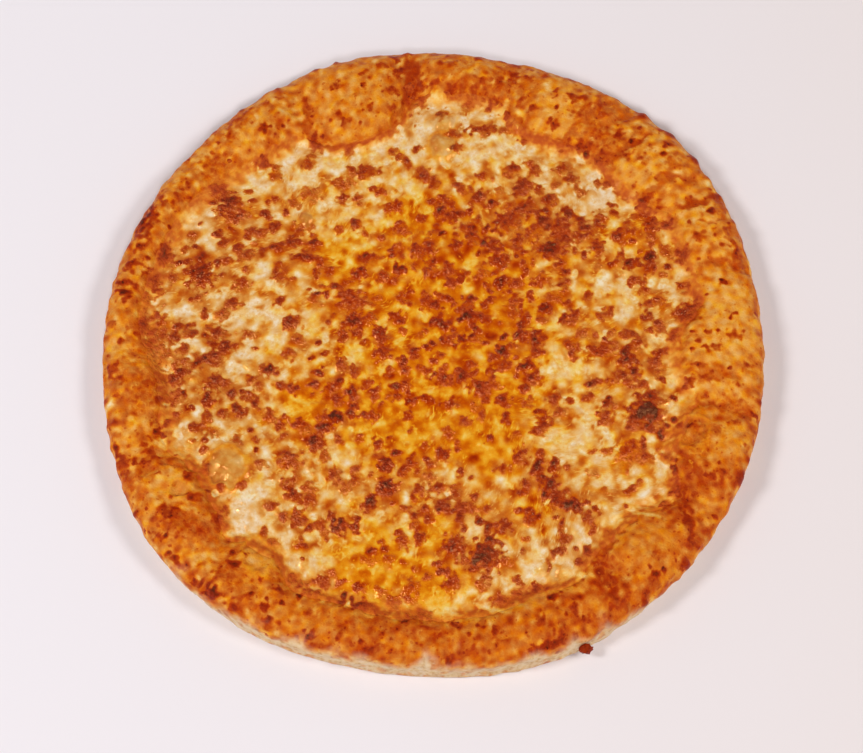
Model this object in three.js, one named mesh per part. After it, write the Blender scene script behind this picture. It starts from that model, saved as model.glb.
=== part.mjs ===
// A whole, uncut cheese pizza, about 31 cm across, as it comes out of the oven.
//
// It is three baked layers, each a closed solid: the dough with its raised, uneven rim, a thin
// spread of tomato sauce on the dough's floor, and the melted cheese on the sauce. The rim swells
// into lobes that run in over the floor, with grooves between them, and some lobes have fallen in.
// Every layer is a stack of closed rings round the middle, so its outline and heights are
// functions of the angle. Millimetres, +Z up, and the flat underside is at z = 0. Angles are
// degrees, counter-clockwise from +X seen from above, and -Y is the front.

import * as THREE from 'three';

// ---- driving dimensions: the outline seen from above ----
const MEAN_RADIUS = 156.2;
const OUTLINE_WAVES = [
  // The hand-stretched outline: so many waves round it, each so far in and out.
  { waves: 1, swing: 0.8, peak: -90 },
  { waves: 2, swing: 1.53, peak: 63.2 },
  { waves: 3, swing: 0.45, peak: -32.5 },
  { waves: 4, swing: 1.63, peak: 38.2 },
  { waves: 5, swing: 0.37, peak: 22.7 },
  { waves: 6, swing: 0.82, peak: -15 },
];

// ---- driving dimensions: the dough's section, from the outside in ----
const FLOOR_HEIGHT = 6.5;
const UNDERCUT = 9; // the flat underside stops this far inside the outline
const BELLY_HEIGHT = 9; // where the side bulges out furthest
const CREST_INSET = 13;
const CREST_HEIGHT = 17.5;
const RIM_WIDTH = 29; // from the outline to the foot of the rim's inner slope
const SLOPE_FULLNESS = { between_lobes: 2.6, lobe: 5 }; // 1 is a straight slope, more is a fuller one
// At the front the side slumped outwards instead, so that its pale flank shows from above.
const SLUMP = { at: 268, flat: 26, fade: 28, belly_inset: 1.2 };

// ---- driving dimensions: forms along the rim ----
const LOBES = [
  // spread is half the lobe's width along the rim, reach how far it runs in past the rim's
  // foot, and swell how much higher it stands.
  { at: 358.3, spread: 10.4, reach: 15.3, swell: 1.2 },
  { at: 19.4, spread: 13.7, reach: 2, swell: 0.6 },
  { at: 42.3, spread: 12, reach: 11, swell: 1.4 },
  { at: 63.1, spread: 12, reach: 11.6, swell: 1.4 },
  { at: 83.4, spread: 8.2, reach: -2, swell: 0.8 },
  { at: 107.5, spread: 14, reach: 20.2, swell: 1.8 },
  { at: 125.6, spread: 7.8, reach: 1.7, swell: 1 },
  { at: 162.5, spread: 25.4, reach: -8.7, swell: -0.6 },
  { at: 187.2, spread: 9.8, reach: 1.5, swell: 0.4 },
  { at: 214.6, spread: 10.9, reach: 9.4, swell: 1.2 },
  { at: 232.5, spread: 8, reach: 9, swell: 1.4 },
  { at: 263.3, spread: 7.5, reach: -1.6, swell: 1 },
  { at: 292.3, spread: 9.3, reach: 2.8, swell: 0.6 },
  { at: 311, spread: 11.7, reach: 9, swell: 1 },
  { at: 339, spread: 10.5, reach: 9, swell: 1.4 },
];
const GROOVES = [
  // Valleys between the lobes, which cut the crest and the inner slope.
  { at: 16, spread: 6, depth: 2.2 },
  { at: 32, spread: 6, depth: 2.4 },
  { at: 53, spread: 6, depth: 2.6 },
  { at: 76, spread: 6, depth: 2.0 },
  { at: 94, spread: 6, depth: 3.0 },
  { at: 116, spread: 6, depth: 2.4 },
  { at: 139, spread: 7, depth: 2.6 },
  { at: 181, spread: 7, depth: 1.8 },
  { at: 202, spread: 6, depth: 2.4 },
  { at: 224, spread: 7, depth: 2.2 },
  { at: 246, spread: 7, depth: 2.2 },
  { at: 271, spread: 7, depth: 2.4 },
  { at: 296, spread: 6, depth: 2.2 },
  { at: 327, spread: 7, depth: 2.8 },
  { at: 346, spread: 6, depth: 2.0 },
];
const DENTS = [
  // Places where a lobe's thin skin fell in as it cooled.
  { at: 212, inset: 21, across: 20, depth: 3.0 },
  { at: 234, inset: 24, across: 20, depth: 2.6 },
  { at: 260, inset: 17, across: 16, depth: 1.8 },
  { at: 306.5, inset: 22, across: 24, depth: 3.6 },
  { at: 337, inset: 25, across: 22, depth: 3.2 },
];
const RIM_LUMPS = { count: 90, seed: 7, across: [9, 17], rise: [0.5, 1.3], inset: [6, 27] };

// ---- driving dimensions: sauce and cheese ----
const LAYER_GAP = 0.3; // clearance that keeps touching layers apart
const FOOT_CLEARANCE = 0.5;
const SAUCE_THICKNESS = 1.1;
const SAUCE_SHOWS = { mean: 1.2, swing: 0.9, waves: [7, 13] }; // how far it peeks out round the cheese
const CHEESE_EDGE_HEIGHT = 1.9;
const CHEESE_EDGE_FLARE = 1; // its melted edge leans out over the sauce
const CHEESE_HEIGHT = 3.7;
const CHEESE_SHOULDER = 5; // its edge rounds over in this width
const CHEESE_SWELLS = [
  // Long, shallow waves in the melted surface.
  { along: 24, length: 66, height: 0.35, phase: 0.4 },
  { along: 97, length: 49, height: 0.3, phase: 2.1 },
  { along: 151, length: 38, height: 0.25, phase: 4.4 },
];
const BLISTERS = [
  // The largest baked bubbles in the cheese, by their middle seen from above.
  { x: 98, y: -34, across: 17, rise: 3.0 },
  { x: 23, y: -104, across: 19, rise: 2.4 },
  { x: 62, y: -79, across: 16, rise: 1.8 },
  { x: 50, y: -71, across: 14, rise: 2.0 },
  { x: -92, y: -57, across: 26, rise: 2.4 },
  { x: -46, y: -39, across: 16, rise: 2.2 },
  { x: 3, y: 103, across: 15, rise: 1.9 },
  { x: 5, y: 116, across: 13, rise: 1.5 },
  { x: 95, y: 58, across: 20, rise: 1.8 },
  { x: -56, y: 65, across: 15, rise: 1.6 },
  { x: -108, y: 36, across: 15, rise: 1.8 },
  { x: -97, y: 72, across: 16, rise: 1.8 },
  { x: 17, y: 15, across: 14, rise: 1.6 },
  { x: -21, y: -70, across: 14, rise: 1.6 },
];
const CHEESE_LUMPS = { count: 260, seed: 21, across: [9, 16], rise: [0.4, 1.3] };

// ---- fineness of the solids ----
const POINTS_ROUND = 160;
const CHEESE_RING_STEP = 5.6;
const CHEESE_HALVINGS = [76, 38, 19]; // inside each of these radii a ring has half the points

const radians = THREE.MathUtils.degToRad;

// Shape helpers. A hump is 1 in its middle and falls smoothly to 0 at its edge.
const hump = (distance, reach) => (distance < reach ? 0.5 + 0.5 * Math.cos((Math.PI * distance) / reach) : 0);

// A bulge is blunter than a hump: broad in its middle, with steep sides.
const bulge = (distance, reach) => Math.cos((Math.PI / 2) * Math.min(1, distance / reach) ** 2);

function angleBetween(a, b) {
  const turn = Math.abs(a - b) % 360;
  return Math.min(turn, 360 - turn);
}

function sumAt(forms, angle, size, shape = hump) {
  return forms.reduce((sum, form) => sum + form[size] * shape(angleBetween(angle, form.at), form.spread), 0);
}

// A repeatable source of numbers from 0 to 1.
function seededNumbers(seed) {
  let state = seed;
  return () => {
    state = (state + 0x6d2b79f5) | 0;
    let mixed = Math.imul(state ^ (state >>> 15), 1 | state);
    mixed = (mixed + Math.imul(mixed ^ (mixed >>> 7), 61 | mixed)) ^ mixed;
    return ((mixed ^ (mixed >>> 14)) >>> 0) / 4294967296;
  };
}

const between = (number, [low, high]) => low + (high - low) * number;

const onPlan = (angle, radius) => ({
  x: radius * Math.cos(radians(angle)),
  y: radius * Math.sin(radians(angle)),
});

function outlineRadius(angle) {
  return OUTLINE_WAVES.reduce(
    (radius, wave) => radius + wave.swing * Math.cos(wave.waves * radians(angle - wave.peak)),
    MEAN_RADIUS,
  );
}

const rimWidth = (angle) => RIM_WIDTH + sumAt(LOBES, angle, 'reach', bulge);

const footRadius = (angle) => outlineRadius(angle) - rimWidth(angle);

// Small rounded lumps scattered over a surface: spot(next) draws the place of each.
function scatterLumps({ count, seed, across, rise }, spot) {
  const next = seededNumbers(seed);
  return Array.from({ length: count }, () => (
    { ...spot(next), across: between(next(), across), rise: between(next(), rise) }
  ));
}

const rimLumps = () => scatterLumps(RIM_LUMPS, (next) => {
  const angle = 360 * next();
  return onPlan(angle, outlineRadius(angle) - between(next(), RIM_LUMPS.inset));
});

const cheeseLumps = () => scatterLumps(CHEESE_LUMPS, (next) => {
  const angle = 360 * next();
  return onPlan(angle, footRadius(angle) * Math.sqrt(next()));
});

const lumpHeight = (lump, x, y) => lump.rise * hump(Math.hypot(x - lump.x, y - lump.y), lump.across / 2);

const sumOf = (lumps, x, y) => lumps.reduce((sum, lump) => sum + lumpHeight(lump, x, y), 0);

// Where lumps overlap, the highest one shows instead of their sum.
const tallestOf = (lumps, x, y) => lumps.reduce((top, lump) => Math.max(top, lumpHeight(lump, x, y)), 0);

// ---- meshes from rings ----
// rings run from the middle of the underside, out and up, and in over the top. A ring has as many
// points as the one before it, or half as many.
function solidFromRings(rings, bottomMiddle, topMiddle) {
  const positions = [...bottomMiddle, ...topMiddle];
  const starts = rings.map((ring) => {
    const start = positions.length / 3;
    ring.forEach((point) => positions.push(...point));
    return start;
  });
  const faces = [];
  const first = rings[0].length;
  for (let i = 0; i < first; i += 1) faces.push(0, starts[0] + ((i + 1) % first), starts[0] + i);
  for (let k = 1; k < rings.length; k += 1) {
    const count = rings[k].length;
    const outer = (i) => starts[k - 1] + (i % rings[k - 1].length);
    const inner = (i) => starts[k] + (i % count);
    for (let i = 0; i < count; i += 1) {
      if (rings[k - 1].length === count) {
        faces.push(outer(i), outer(i + 1), inner(i + 1), outer(i), inner(i + 1), inner(i));
      } else {
        faces.push(outer(2 * i), outer(2 * i + 1), inner(i));
        faces.push(outer(2 * i + 1), inner(i + 1), inner(i));
        faces.push(outer(2 * i + 1), outer(2 * i + 2), inner(i + 1));
      }
    }
  }
  const last = rings.length - 1;
  const count = rings[last].length;
  for (let i = 0; i < count; i += 1) faces.push(1, starts[last] + i, starts[last] + ((i + 1) % count));
  const geometry = new THREE.BufferGeometry();
  geometry.setAttribute('position', new THREE.Float32BufferAttribute(positions, 3));
  geometry.setIndex(faces);
  geometry.computeVertexNormals();
  return geometry;
}

// One ring: section(angle) gives its radius and height there.
function ring(points, section) {
  return Array.from({ length: points }, (_, i) => {
    const angle = (360 * i) / points;
    const [radius, height] = section(angle);
    const { x, y } = onPlan(angle, radius);
    return [x, y, height];
  });
}

// ---- the dough ----
function slumpAt(angle) {
  const past = angleBetween(angle, SLUMP.at) - SLUMP.flat;
  return past <= 0 ? 1 : hump(past, SLUMP.fade);
}

// Where the rim is thin, its crest lies nearer to the outline.
function crestAt(angle) {
  return {
    radius: outlineRadius(angle) - CREST_INSET * Math.min(1, rimWidth(angle) / RIM_WIDTH),
    height: CREST_HEIGHT + sumAt(LOBES, angle, 'swell') - sumAt(GROOVES, angle, 'depth'),
  };
}

const bellyRadius = (angle) => outlineRadius(angle) - SLUMP.belly_inset * slumpAt(angle);

// From the underside's edge (climb 0) out to the belly (climb 1).
function lowerSide(climb) {
  return (angle) => {
    const edge = outlineRadius(angle) - UNDERCUT * (1 - slumpAt(angle));
    const turn = (climb * Math.PI) / 2;
    return [edge + (bellyRadius(angle) - edge) * Math.sin(turn), BELLY_HEIGHT * (1 - Math.cos(turn))];
  };
}

// From the belly (climb 0) up and over to the crest (climb 1).
function upperSide(climb) {
  return (angle) => {
    const crest = crestAt(angle);
    const turn = (climb * Math.PI) / 2;
    return [
      crest.radius + (bellyRadius(angle) - crest.radius) * Math.cos(turn),
      BELLY_HEIGHT + (crest.height - BELLY_HEIGHT) * Math.sin(turn),
    ];
  };
}

// From the crest (fall 0) down to the rim's foot on the floor (fall 1). A lobe has a fuller edge.
function innerSlope(fall) {
  return (angle) => {
    const crest = crestAt(angle);
    const lobe = Math.max(...LOBES.filter(({ reach }) => reach > 0)
      .map(({ at, spread }) => bulge(angleBetween(angle, at), spread)));
    const fullness = THREE.MathUtils.lerp(SLOPE_FULLNESS.between_lobes, SLOPE_FULLNESS.lobe, lobe);
    return [
      crest.radius + (footRadius(angle) - crest.radius) * fall,
      FLOOR_HEIGHT + (crest.height - FLOOR_HEIGHT) * (1 - fall ** fullness),
    ];
  };
}

// The same ring with the lumps and dents of the rim's top added, fading out at its edges.
function lumpy(section, share, lumps, dents) {
  return (angle) => {
    const [radius, height] = section(angle);
    const { x, y } = onPlan(angle, radius);
    return [radius, height + share * (tallestOf(lumps, x, y) - sumOf(dents, x, y))];
  };
}

function doughGeometry() {
  const lumps = rimLumps();
  const dents = DENTS.map((dent) => ({
    ...onPlan(dent.at, outlineRadius(dent.at) - dent.inset),
    across: dent.across,
    rise: dent.depth,
  }));
  const bumpy = (section, share) => ring(POINTS_ROUND, lumpy(section, share, lumps, dents));
  const rings = [
    ...[0, 0.36, 0.7, 1].map((climb) => ring(POINTS_ROUND, lowerSide(climb))),
    ...[0.26, 0.52, 0.78].map((climb) => bumpy(upperSide(climb), climb)),
    ...[0, 0.2, 0.4, 0.58, 0.73, 0.85].map((fall) => bumpy(innerSlope(fall), 1)),
    ...[0.94, 1].map((fall) => ring(POINTS_ROUND, innerSlope(fall))),
  ];
  return solidFromRings(rings, [0, 0, 0], [0, 0, FLOOR_HEIGHT]);
}

// ---- the sauce ----
const sauceRadius = (angle) => footRadius(angle) - FOOT_CLEARANCE;

function sauceGeometry() {
  const bottom = FLOOR_HEIGHT + LAYER_GAP;
  const rings = [
    ring(POINTS_ROUND, (angle) => [sauceRadius(angle), bottom]),
    ring(POINTS_ROUND, (angle) => [sauceRadius(angle), bottom + SAUCE_THICKNESS]),
  ];
  return solidFromRings(rings, [0, 0, bottom], [0, 0, bottom + SAUCE_THICKNESS]);
}

// ---- the cheese ----
function cheeseRadius(angle) {
  const [slow, fast] = SAUCE_SHOWS.waves;
  const waviness = Math.sin(slow * radians(angle)) * Math.sin(fast * radians(angle));
  return sauceRadius(angle) - SAUCE_SHOWS.mean - SAUCE_SHOWS.swing * waviness;
}

function cheeseTop(bottom, lumps) {
  return (x, y, insideEdge) => {
    const shoulder = Math.min(1, insideEdge / CHEESE_SHOULDER);
    const rounding = Math.sin((shoulder * Math.PI) / 2);
    const thickness = CHEESE_EDGE_HEIGHT + (CHEESE_HEIGHT - CHEESE_EDGE_HEIGHT) * rounding;
    const swells = CHEESE_SWELLS.reduce((sum, swell) => {
      const along = x * Math.cos(radians(swell.along)) + y * Math.sin(radians(swell.along));
      return sum + swell.height * Math.sin((2 * Math.PI * along) / swell.length + swell.phase);
    }, 0);
    const bubbles = Math.max(tallestOf(BLISTERS, x, y), tallestOf(lumps, x, y));
    return bottom + thickness + shoulder * (swells + bubbles);
  };
}

function cheeseGeometry() {
  const bottom = FLOOR_HEIGHT + LAYER_GAP + SAUCE_THICKNESS + LAYER_GAP;
  const top = cheeseTop(bottom, cheeseLumps());
  const steps = Math.round((MEAN_RADIUS - RIM_WIDTH) / CHEESE_RING_STEP);
  const rings = [ring(POINTS_ROUND, (angle) => [cheeseRadius(angle), bottom])];
  for (let step = 0; step < steps; step += 1) {
    const share = 1 - step / steps;
    const halvings = CHEESE_HALVINGS.filter((radius) => share * (MEAN_RADIUS - RIM_WIDTH) < radius).length;
    rings.push(ring(POINTS_ROUND / 2 ** halvings, (angle) => {
      const radius = share * (cheeseRadius(angle) + CHEESE_EDGE_FLARE);
      const { x, y } = onPlan(angle, radius);
      return [radius, top(x, y, cheeseRadius(angle) + CHEESE_EDGE_FLARE - radius)];
    }));
  }
  return solidFromRings(rings, [0, 0, bottom], [0, 0, top(0, 0, MEAN_RADIUS)]);
}

// ---- the pizza ----
function layer(name, geometry, color, roughness) {
  const mesh = new THREE.Mesh(geometry, new THREE.MeshStandardMaterial({ color, roughness, metalness: 0 }));
  mesh.name = name;
  return mesh;
}

const pizza = new THREE.Group();
pizza.add(layer('crust', doughGeometry(), 0xcd8733, 0.65));
pizza.add(layer('sauce', sauceGeometry(), 0xa52f12, 0.35));
pizza.add(layer('cheese', cheeseGeometry(), 0xe6ab50, 0.35));

// The origin is under the middle of the whole pizza's outline.
const middle = new THREE.Box3().setFromObject(pizza).getCenter(new THREE.Vector3());
pizza.position.set(-middle.x, -middle.y, 0);

export default pizza;
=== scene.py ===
# %% [markdown]
# # A whole cheese pizza
#
# The pizza has three layers that show: a rim of baked dough, a little tomato sauce in the creases, and a
# wide disc of melted cheese with toasted blisters. The CAD frame gives their true sizes and their main
# forms. Here each layer is made again as a fine mesh over the same form, with the relief and the browning
# that a real oven gives. We start by loading the frame.

# %% Load the frame
import math
import bpy
import numpy as np
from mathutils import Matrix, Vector
from mathutils.bvhtree import BVHTree


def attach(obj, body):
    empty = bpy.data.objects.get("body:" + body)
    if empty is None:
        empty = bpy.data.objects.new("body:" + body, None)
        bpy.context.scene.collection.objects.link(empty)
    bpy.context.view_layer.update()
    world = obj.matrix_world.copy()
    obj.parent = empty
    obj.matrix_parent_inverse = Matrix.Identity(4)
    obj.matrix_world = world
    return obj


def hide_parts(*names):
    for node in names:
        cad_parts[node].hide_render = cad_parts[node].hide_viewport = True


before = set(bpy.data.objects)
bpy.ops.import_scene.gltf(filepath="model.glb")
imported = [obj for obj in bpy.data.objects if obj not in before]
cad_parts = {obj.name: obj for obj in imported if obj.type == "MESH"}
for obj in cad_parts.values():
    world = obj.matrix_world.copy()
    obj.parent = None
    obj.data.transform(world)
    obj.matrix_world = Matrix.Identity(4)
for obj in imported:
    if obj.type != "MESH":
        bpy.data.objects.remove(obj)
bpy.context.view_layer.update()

MM = 0.001

# %% [markdown]
# ## The camera
#
# The picture looks down on the pizza from the front at a steep angle, and the far and near rims have
# almost the same width, so the lens is long. The camera could be placed by eye, but it's easier to say
# where it looks, how steeply, from how far, and how many pixels a metre takes there. The lens follows.

# %% Camera
PICTURE_WIDTH = 863
SENSOR_WIDTH = 36.0
CAMERA_PITCH = math.radians(68.0)
CAMERA_DISTANCE = 1.2
PIXELS_PER_METRE = 2164.0
LOOK_AT = Vector((-0.0009, -0.0150, 0.0120))

camera_data = bpy.data.cameras.new("camera")
camera_data.sensor_width = SENSOR_WIDTH
camera_data.lens = SENSOR_WIDTH * PIXELS_PER_METRE * CAMERA_DISTANCE / PICTURE_WIDTH
camera = bpy.data.objects.new("camera", camera_data)
bpy.context.scene.collection.objects.link(camera)
offset = Vector((0.0, -math.cos(CAMERA_PITCH), math.sin(CAMERA_PITCH)))
camera.location = LOOK_AT + CAMERA_DISTANCE * offset
camera.rotation_euler = (-offset).to_track_quat("-Z", "Y").to_euler()
bpy.context.scene.camera = camera
print("lens", round(camera_data.lens, 1), "mm")

# %% [markdown]
# ## Helpers for materials
#
# Colours are easiest to judge as screen values from 0 to 255, while shaders want linear light, so `tint`
# converts them. `add_node` and `join` keep the node code short: one line makes a node with its settings,
# and one line connects two sockets.

# %% Colours and nodes
def tint(red, green, blue):
    """Turns a screen colour into the linear colour that a shader takes."""
    def linear(value):
        share = value / 255.0
        return share / 12.92 if share <= 0.04045 else ((share + 0.055) / 1.055) ** 2.4
    return (linear(red), linear(green), linear(blue), 1.0)


def add_node(tree, kind, inputs=None, **settings):
    """Makes a node; inputs are its plain values and settings its options."""
    item = tree.nodes.new(kind)
    for name, value in settings.items():
        setattr(item, name, value)
    for name, value in (inputs or {}).items():
        item.inputs[name].default_value = value
    return item


def join(tree, source, target):
    tree.links.new(source, target)


def colour_steps(tree, source, stops):
    """A colour ramp with one stop for each (place, screen colour)."""
    steps = add_node(tree, "ShaderNodeValToRGB")
    band = steps.color_ramp
    band.elements[0].position = stops[0][0]
    band.elements[0].color = tint(*stops[0][1])
    band.elements[1].position = stops[-1][0]
    band.elements[1].color = tint(*stops[-1][1])
    for place, colour in stops[1:-1]:
        band.elements.new(place).color = tint(*colour)
    join(tree, source, steps.inputs["Fac"])
    return steps.outputs["Color"]


print("the floor's middle tone is", [round(part, 2) for part in tint(238, 232, 235)[:3]], "in linear light")


# %% Values and materials
def sums(tree, operation, first, second):
    """A maths node; each term is a socket or a plain number."""
    item = add_node(tree, "ShaderNodeMath", operation=operation)
    for slot, term in enumerate((first, second)):
        if isinstance(term, (int, float)):
            item.inputs[slot].default_value = term
        else:
            join(tree, term, item.inputs[slot])
    return item.outputs[0]


def surface_value(tree, name):
    """Reads a value that the mesh carries at each of its points."""
    return add_node(tree, "ShaderNodeAttribute", attribute_name=name).outputs["Fac"]


def new_material(name):
    material = bpy.data.materials.new(name)
    material.use_nodes = True
    tree = material.node_tree
    tree.nodes.clear()
    shader = add_node(tree, "ShaderNodeBsdfPrincipled")
    output = add_node(tree, "ShaderNodeOutputMaterial")
    join(tree, shader.outputs["BSDF"], output.inputs["Surface"])
    return material, tree, shader


print("node and material helpers ready")

# %% [markdown]
# ## Floor and light
#
# The pizza lies on a seamless pale sheet with a faint pink cast. Its colour carries painted light: lighter
# and cooler on the left, darker and warmer on the right. Large soft lights hang on the left, on the right
# and in front, so the shadows fall softly to both sides and behind, and none falls forward. The
# surroundings are pale near the floor and dark overhead: what hangs right above is what the wet cheese
# mirrors to the camera, and a bright ceiling would lay a grey veil over its orange.

# %% Floor
floor_mesh = bpy.data.meshes.new("floor")
FLOOR_REACH = 4.0
FLOOR_DROP = -0.0001
FADE_REACH = 0.22
corners = [(-FLOOR_REACH, -FLOOR_REACH), (FLOOR_REACH, -FLOOR_REACH), (FLOOR_REACH, FLOOR_REACH),
           (-FLOOR_REACH, FLOOR_REACH)]
floor_mesh.from_pydata([(x, y, FLOOR_DROP) for x, y in corners], [], [(0, 1, 2, 3)])
floor = bpy.data.objects.new("floor", floor_mesh)
bpy.context.scene.collection.objects.link(floor)

floor_paint, tree, shader = new_material("pale sheet")
place = add_node(tree, "ShaderNodeTexCoord")
sides = add_node(tree, "ShaderNodeSeparateXYZ")
join(tree, place.outputs["Object"], sides.inputs["Vector"])
# Painted light: the sheet's colour runs from lighter and cooler on the left to darker and warmer on the
# right, as light falls stronger from the left and glows warm off the pizza on the right.
painted_light_across = add_node(tree, "ShaderNodeMapRange", {"From Min": -FADE_REACH, "From Max": FADE_REACH})
join(tree, sides.outputs["X"], painted_light_across.inputs["Value"])
cloudy = add_node(tree, "ShaderNodeTexNoise", {"Scale": 3.0, "Detail": 2.0})
join(tree, place.outputs["Object"], cloudy.inputs["Vector"])
uneven = sums(tree, "MULTIPLY", sums(tree, "SUBTRACT", cloudy.outputs["Fac"], 0.5), 0.4)
sheet = colour_steps(tree, sums(tree, "ADD", painted_light_across.outputs["Result"], uneven),
                     [(0.0, (241, 236, 240)), (0.5, (238, 232, 235)), (1.0, (235, 226, 225))])
join(tree, sheet, shader.inputs["Base Color"])
shader.inputs["Roughness"].default_value = 0.8
floor_mesh.materials.append(floor_paint)
print("the sheet is", 2.0 * FLOOR_REACH, "m wide")

# %% Lights
def soft_light(name, place, size, power, colour):
    """A round lamp turned to the pizza, with its size in metres and its power in watts."""
    lamp = bpy.data.lights.new(name, "AREA")
    lamp.shape = "DISK"
    lamp.size = size
    lamp.energy = power
    lamp.color = colour
    item = bpy.data.objects.new(name, lamp)
    item.location = place
    item.rotation_euler = (-Vector(place)).to_track_quat("-Z", "Y").to_euler()
    bpy.context.scene.collection.objects.link(item)
    return item


soft_light("left", (-2.6, -0.3, 2.8), 1.0, 61.0, (0.99, 0.99, 1.0))
soft_light("right", (2.6, -0.3, 2.8), 1.0, 46.0, (1.0, 0.98, 0.96))
soft_light("front", (0.1, -2.2, 3.0), 0.7, 39.5, (1.0, 0.985, 0.985))
print("three soft lights")

# %% Surroundings
world = bpy.data.worlds.new("surroundings")
world.use_nodes = True
tree = world.node_tree
backdrop = tree.nodes["Background"]
backdrop.inputs["Strength"].default_value = 1.0
place = add_node(tree, "ShaderNodeTexCoord")
parts = add_node(tree, "ShaderNodeSeparateXYZ")
join(tree, place.outputs["Generated"], parts.inputs["Vector"])
height_steps = [(0.0, (186, 182, 183)), (0.5, (180, 176, 177)), (0.8, (88, 86, 86)), (1.0, (64, 62, 62))]
join(tree, colour_steps(tree, parts.outputs["Z"], height_steps), backdrop.inputs["Color"])
bpy.context.scene.world = world
bpy.context.scene.view_settings.view_transform = "Standard"
print("surroundings in", len(height_steps), "steps of height")

# %% [markdown]
# ## Reading the form from the frame
#
# The fine meshes must lie where the CAD solids are. Copying the solids' numbers would let the two drift
# apart, so we measure the solids: rays straight down give the height of the cheese and of the rim's inner
# slope, and rays fanned out from a point inside the rim give its outer side, which hangs over.

# %% Rays on the solids
def solid_of(name):
    return BVHTree.FromObject(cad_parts[name], bpy.context.evaluated_depsgraph_get())


def ray_mm(solid, start, heading):
    """Where a ray first meets the solid, with the places in millimetres."""
    hit = solid.ray_cast(Vector(start) * MM, Vector(heading))[0]
    return None if hit is None else np.array(hit) / MM


def smooth(low, high, value):
    """Goes from 0 at low to 1 at high, with soft ends."""
    share = np.clip((value - low) / (high - low), 0.0, 1.0)
    return share * share * (3.0 - 2.0 * share)


def soften_round(field, degrees):
    """Blurs along the first axis, which goes once round the pizza."""
    count = field.shape[0]
    waves = np.fft.fftfreq(count, 360.0 / count)
    keep = np.exp(-2.0 * (np.pi * waves * degrees) ** 2)
    keep = keep.reshape([-1] + [1] * (field.ndim - 1))
    return np.fft.ifft(np.fft.fft(field, axis=0) * keep, axis=0).real


crust_solid = solid_of("crust")
cheese_solid = solid_of("cheese")
print("two solids to measure")

# %% The rim's inner slope and its foot
SECTIONS = 480
CORE_RADIUS = 143.0
CORE_HEIGHT = 9.0
HIDDEN_RADIUS = 94.0
ABOVE = 50.0
section_angles = np.radians(np.arange(SECTIONS) * 360.0 / SECTIONS)
radii = np.arange(HIDDEN_RADIUS, CORE_RADIUS + 0.01, 1.0)
slope = np.zeros((SECTIONS, len(radii)))
for k, angle in enumerate(section_angles):
    for j, radius in enumerate(radii):
        spot = (radius * math.cos(angle), radius * math.sin(angle), ABOVE)
        slope[k, j] = ray_mm(crust_solid, spot, (0.0, 0.0, -1.0))[2]
dough_floor = slope[:, 0].mean()
FOOT_RISE = 0.5
foot = np.array([radii[np.nonzero(line < dough_floor + FOOT_RISE)[0][-1]] for line in slope])
foot = soften_round(foot, 1.0)
print("dough floor at", round(dough_floor, 2), "mm; rim foot from", foot.min().round(1), "to",
      foot.max().round(1), "mm out")

# %% [markdown]
# ## Maps of the top
#
# Browning, oil and relief are drawn first as maps seen from above, half a millimetre to a cell. A map can
# be drawn with listed patches put where the oven left them, and filled in with seeded random mottling of
# a chosen size. Each mesh then looks up its own points in the maps. Filtering noise by its wavelength
# gives blotches of one size, which plain noise doesn't.

# %% The map's grid and its filters
MAP_STEP = 0.5
MAP_HALF = 165.0
axis = np.arange(-MAP_HALF, MAP_HALF, MAP_STEP)
MAP_SHAPE = (len(axis), len(axis))
plan_x, plan_y = np.meshgrid(axis, axis)


def pitches(shape, steps):
    """How many waves go into a millimetre, for each term of a map's wave form."""
    rows = np.fft.fftfreq(shape[0], steps[0])[:, None]
    columns = np.fft.fftfreq(shape[1], steps[1])[None, :]
    return np.hypot(rows, columns)


def soften(field, size, steps=(MAP_STEP, MAP_STEP)):
    """Blurs a map by a size in mm."""
    keep = np.exp(-2.0 * (np.pi * pitches(field.shape, steps) * size) ** 2)
    return np.fft.ifft2(np.fft.fft2(field) * keep).real


def mottle(seed, size, spread=0.4, shape=MAP_SHAPE, steps=(MAP_STEP, MAP_STEP)):
    """Blotches about size mm from one to the next, with mean 0 and deviation 1."""
    white = np.random.default_rng(seed).standard_normal(shape)
    keep = np.exp(-(((pitches(shape, steps) * size) - 1.0) / spread) ** 2 / 2.0)
    field = np.fft.ifft2(np.fft.fft2(white) * keep).real
    return field / field.std()


print("maps of", MAP_SHAPE[0], "by", MAP_SHAPE[1], "cells")


# %% Reading and swirling a map
def look_up(field, x, y, step=MAP_STEP):
    """The map's value at places in millimetres, between its cells too."""
    last = field.shape[0] - 1.001
    u = np.clip((x + MAP_HALF) / step, 0.0, last)
    v = np.clip((y + MAP_HALF) / step, 0.0, last)
    i, j = u.astype(int), v.astype(int)
    a, b = u - i, v - j
    low = field[j, i] * (1.0 - a) + field[j, i + 1] * a
    high = field[j + 1, i] * (1.0 - a) + field[j + 1, i + 1] * a
    return low * (1.0 - b) + high * b


def swirled(field, seed, size, reach):
    """The map with its patches pulled about, so that nothing stays round or straight."""
    pull_x, pull_y = mottle(seed, size, 0.5), mottle(seed + 1, size, 0.5)
    return look_up(field, plan_x + reach * pull_x, plan_y + reach * pull_y)


def window(x, y, reach):
    """The rows and columns of the map that lie within reach of a place."""
    columns = np.searchsorted(axis, [x - reach, x + reach])
    rows = np.searchsorted(axis, [y - reach, y + reach])
    return slice(*rows), slice(*columns)


def regions(items):
    """A gentle map from a few wide spots, each x, y, radius and amount."""
    field = np.zeros(MAP_SHAPE)
    for x, y, radius, amount in items:
        field += amount * np.exp(-((plan_x - x) ** 2 + (plan_y - y) ** 2) / (2.0 * (0.62 * radius) ** 2))
    return field


print("map helpers ready")

# %% [markdown]
# ## How high the cheese lies
#
# Rays straight down on a coarse net find the cheese's top. Outside its edge there is nothing to hit, so the
# known heights are spread outwards there, and the whole map is softened until no facet of the solid shows.

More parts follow.
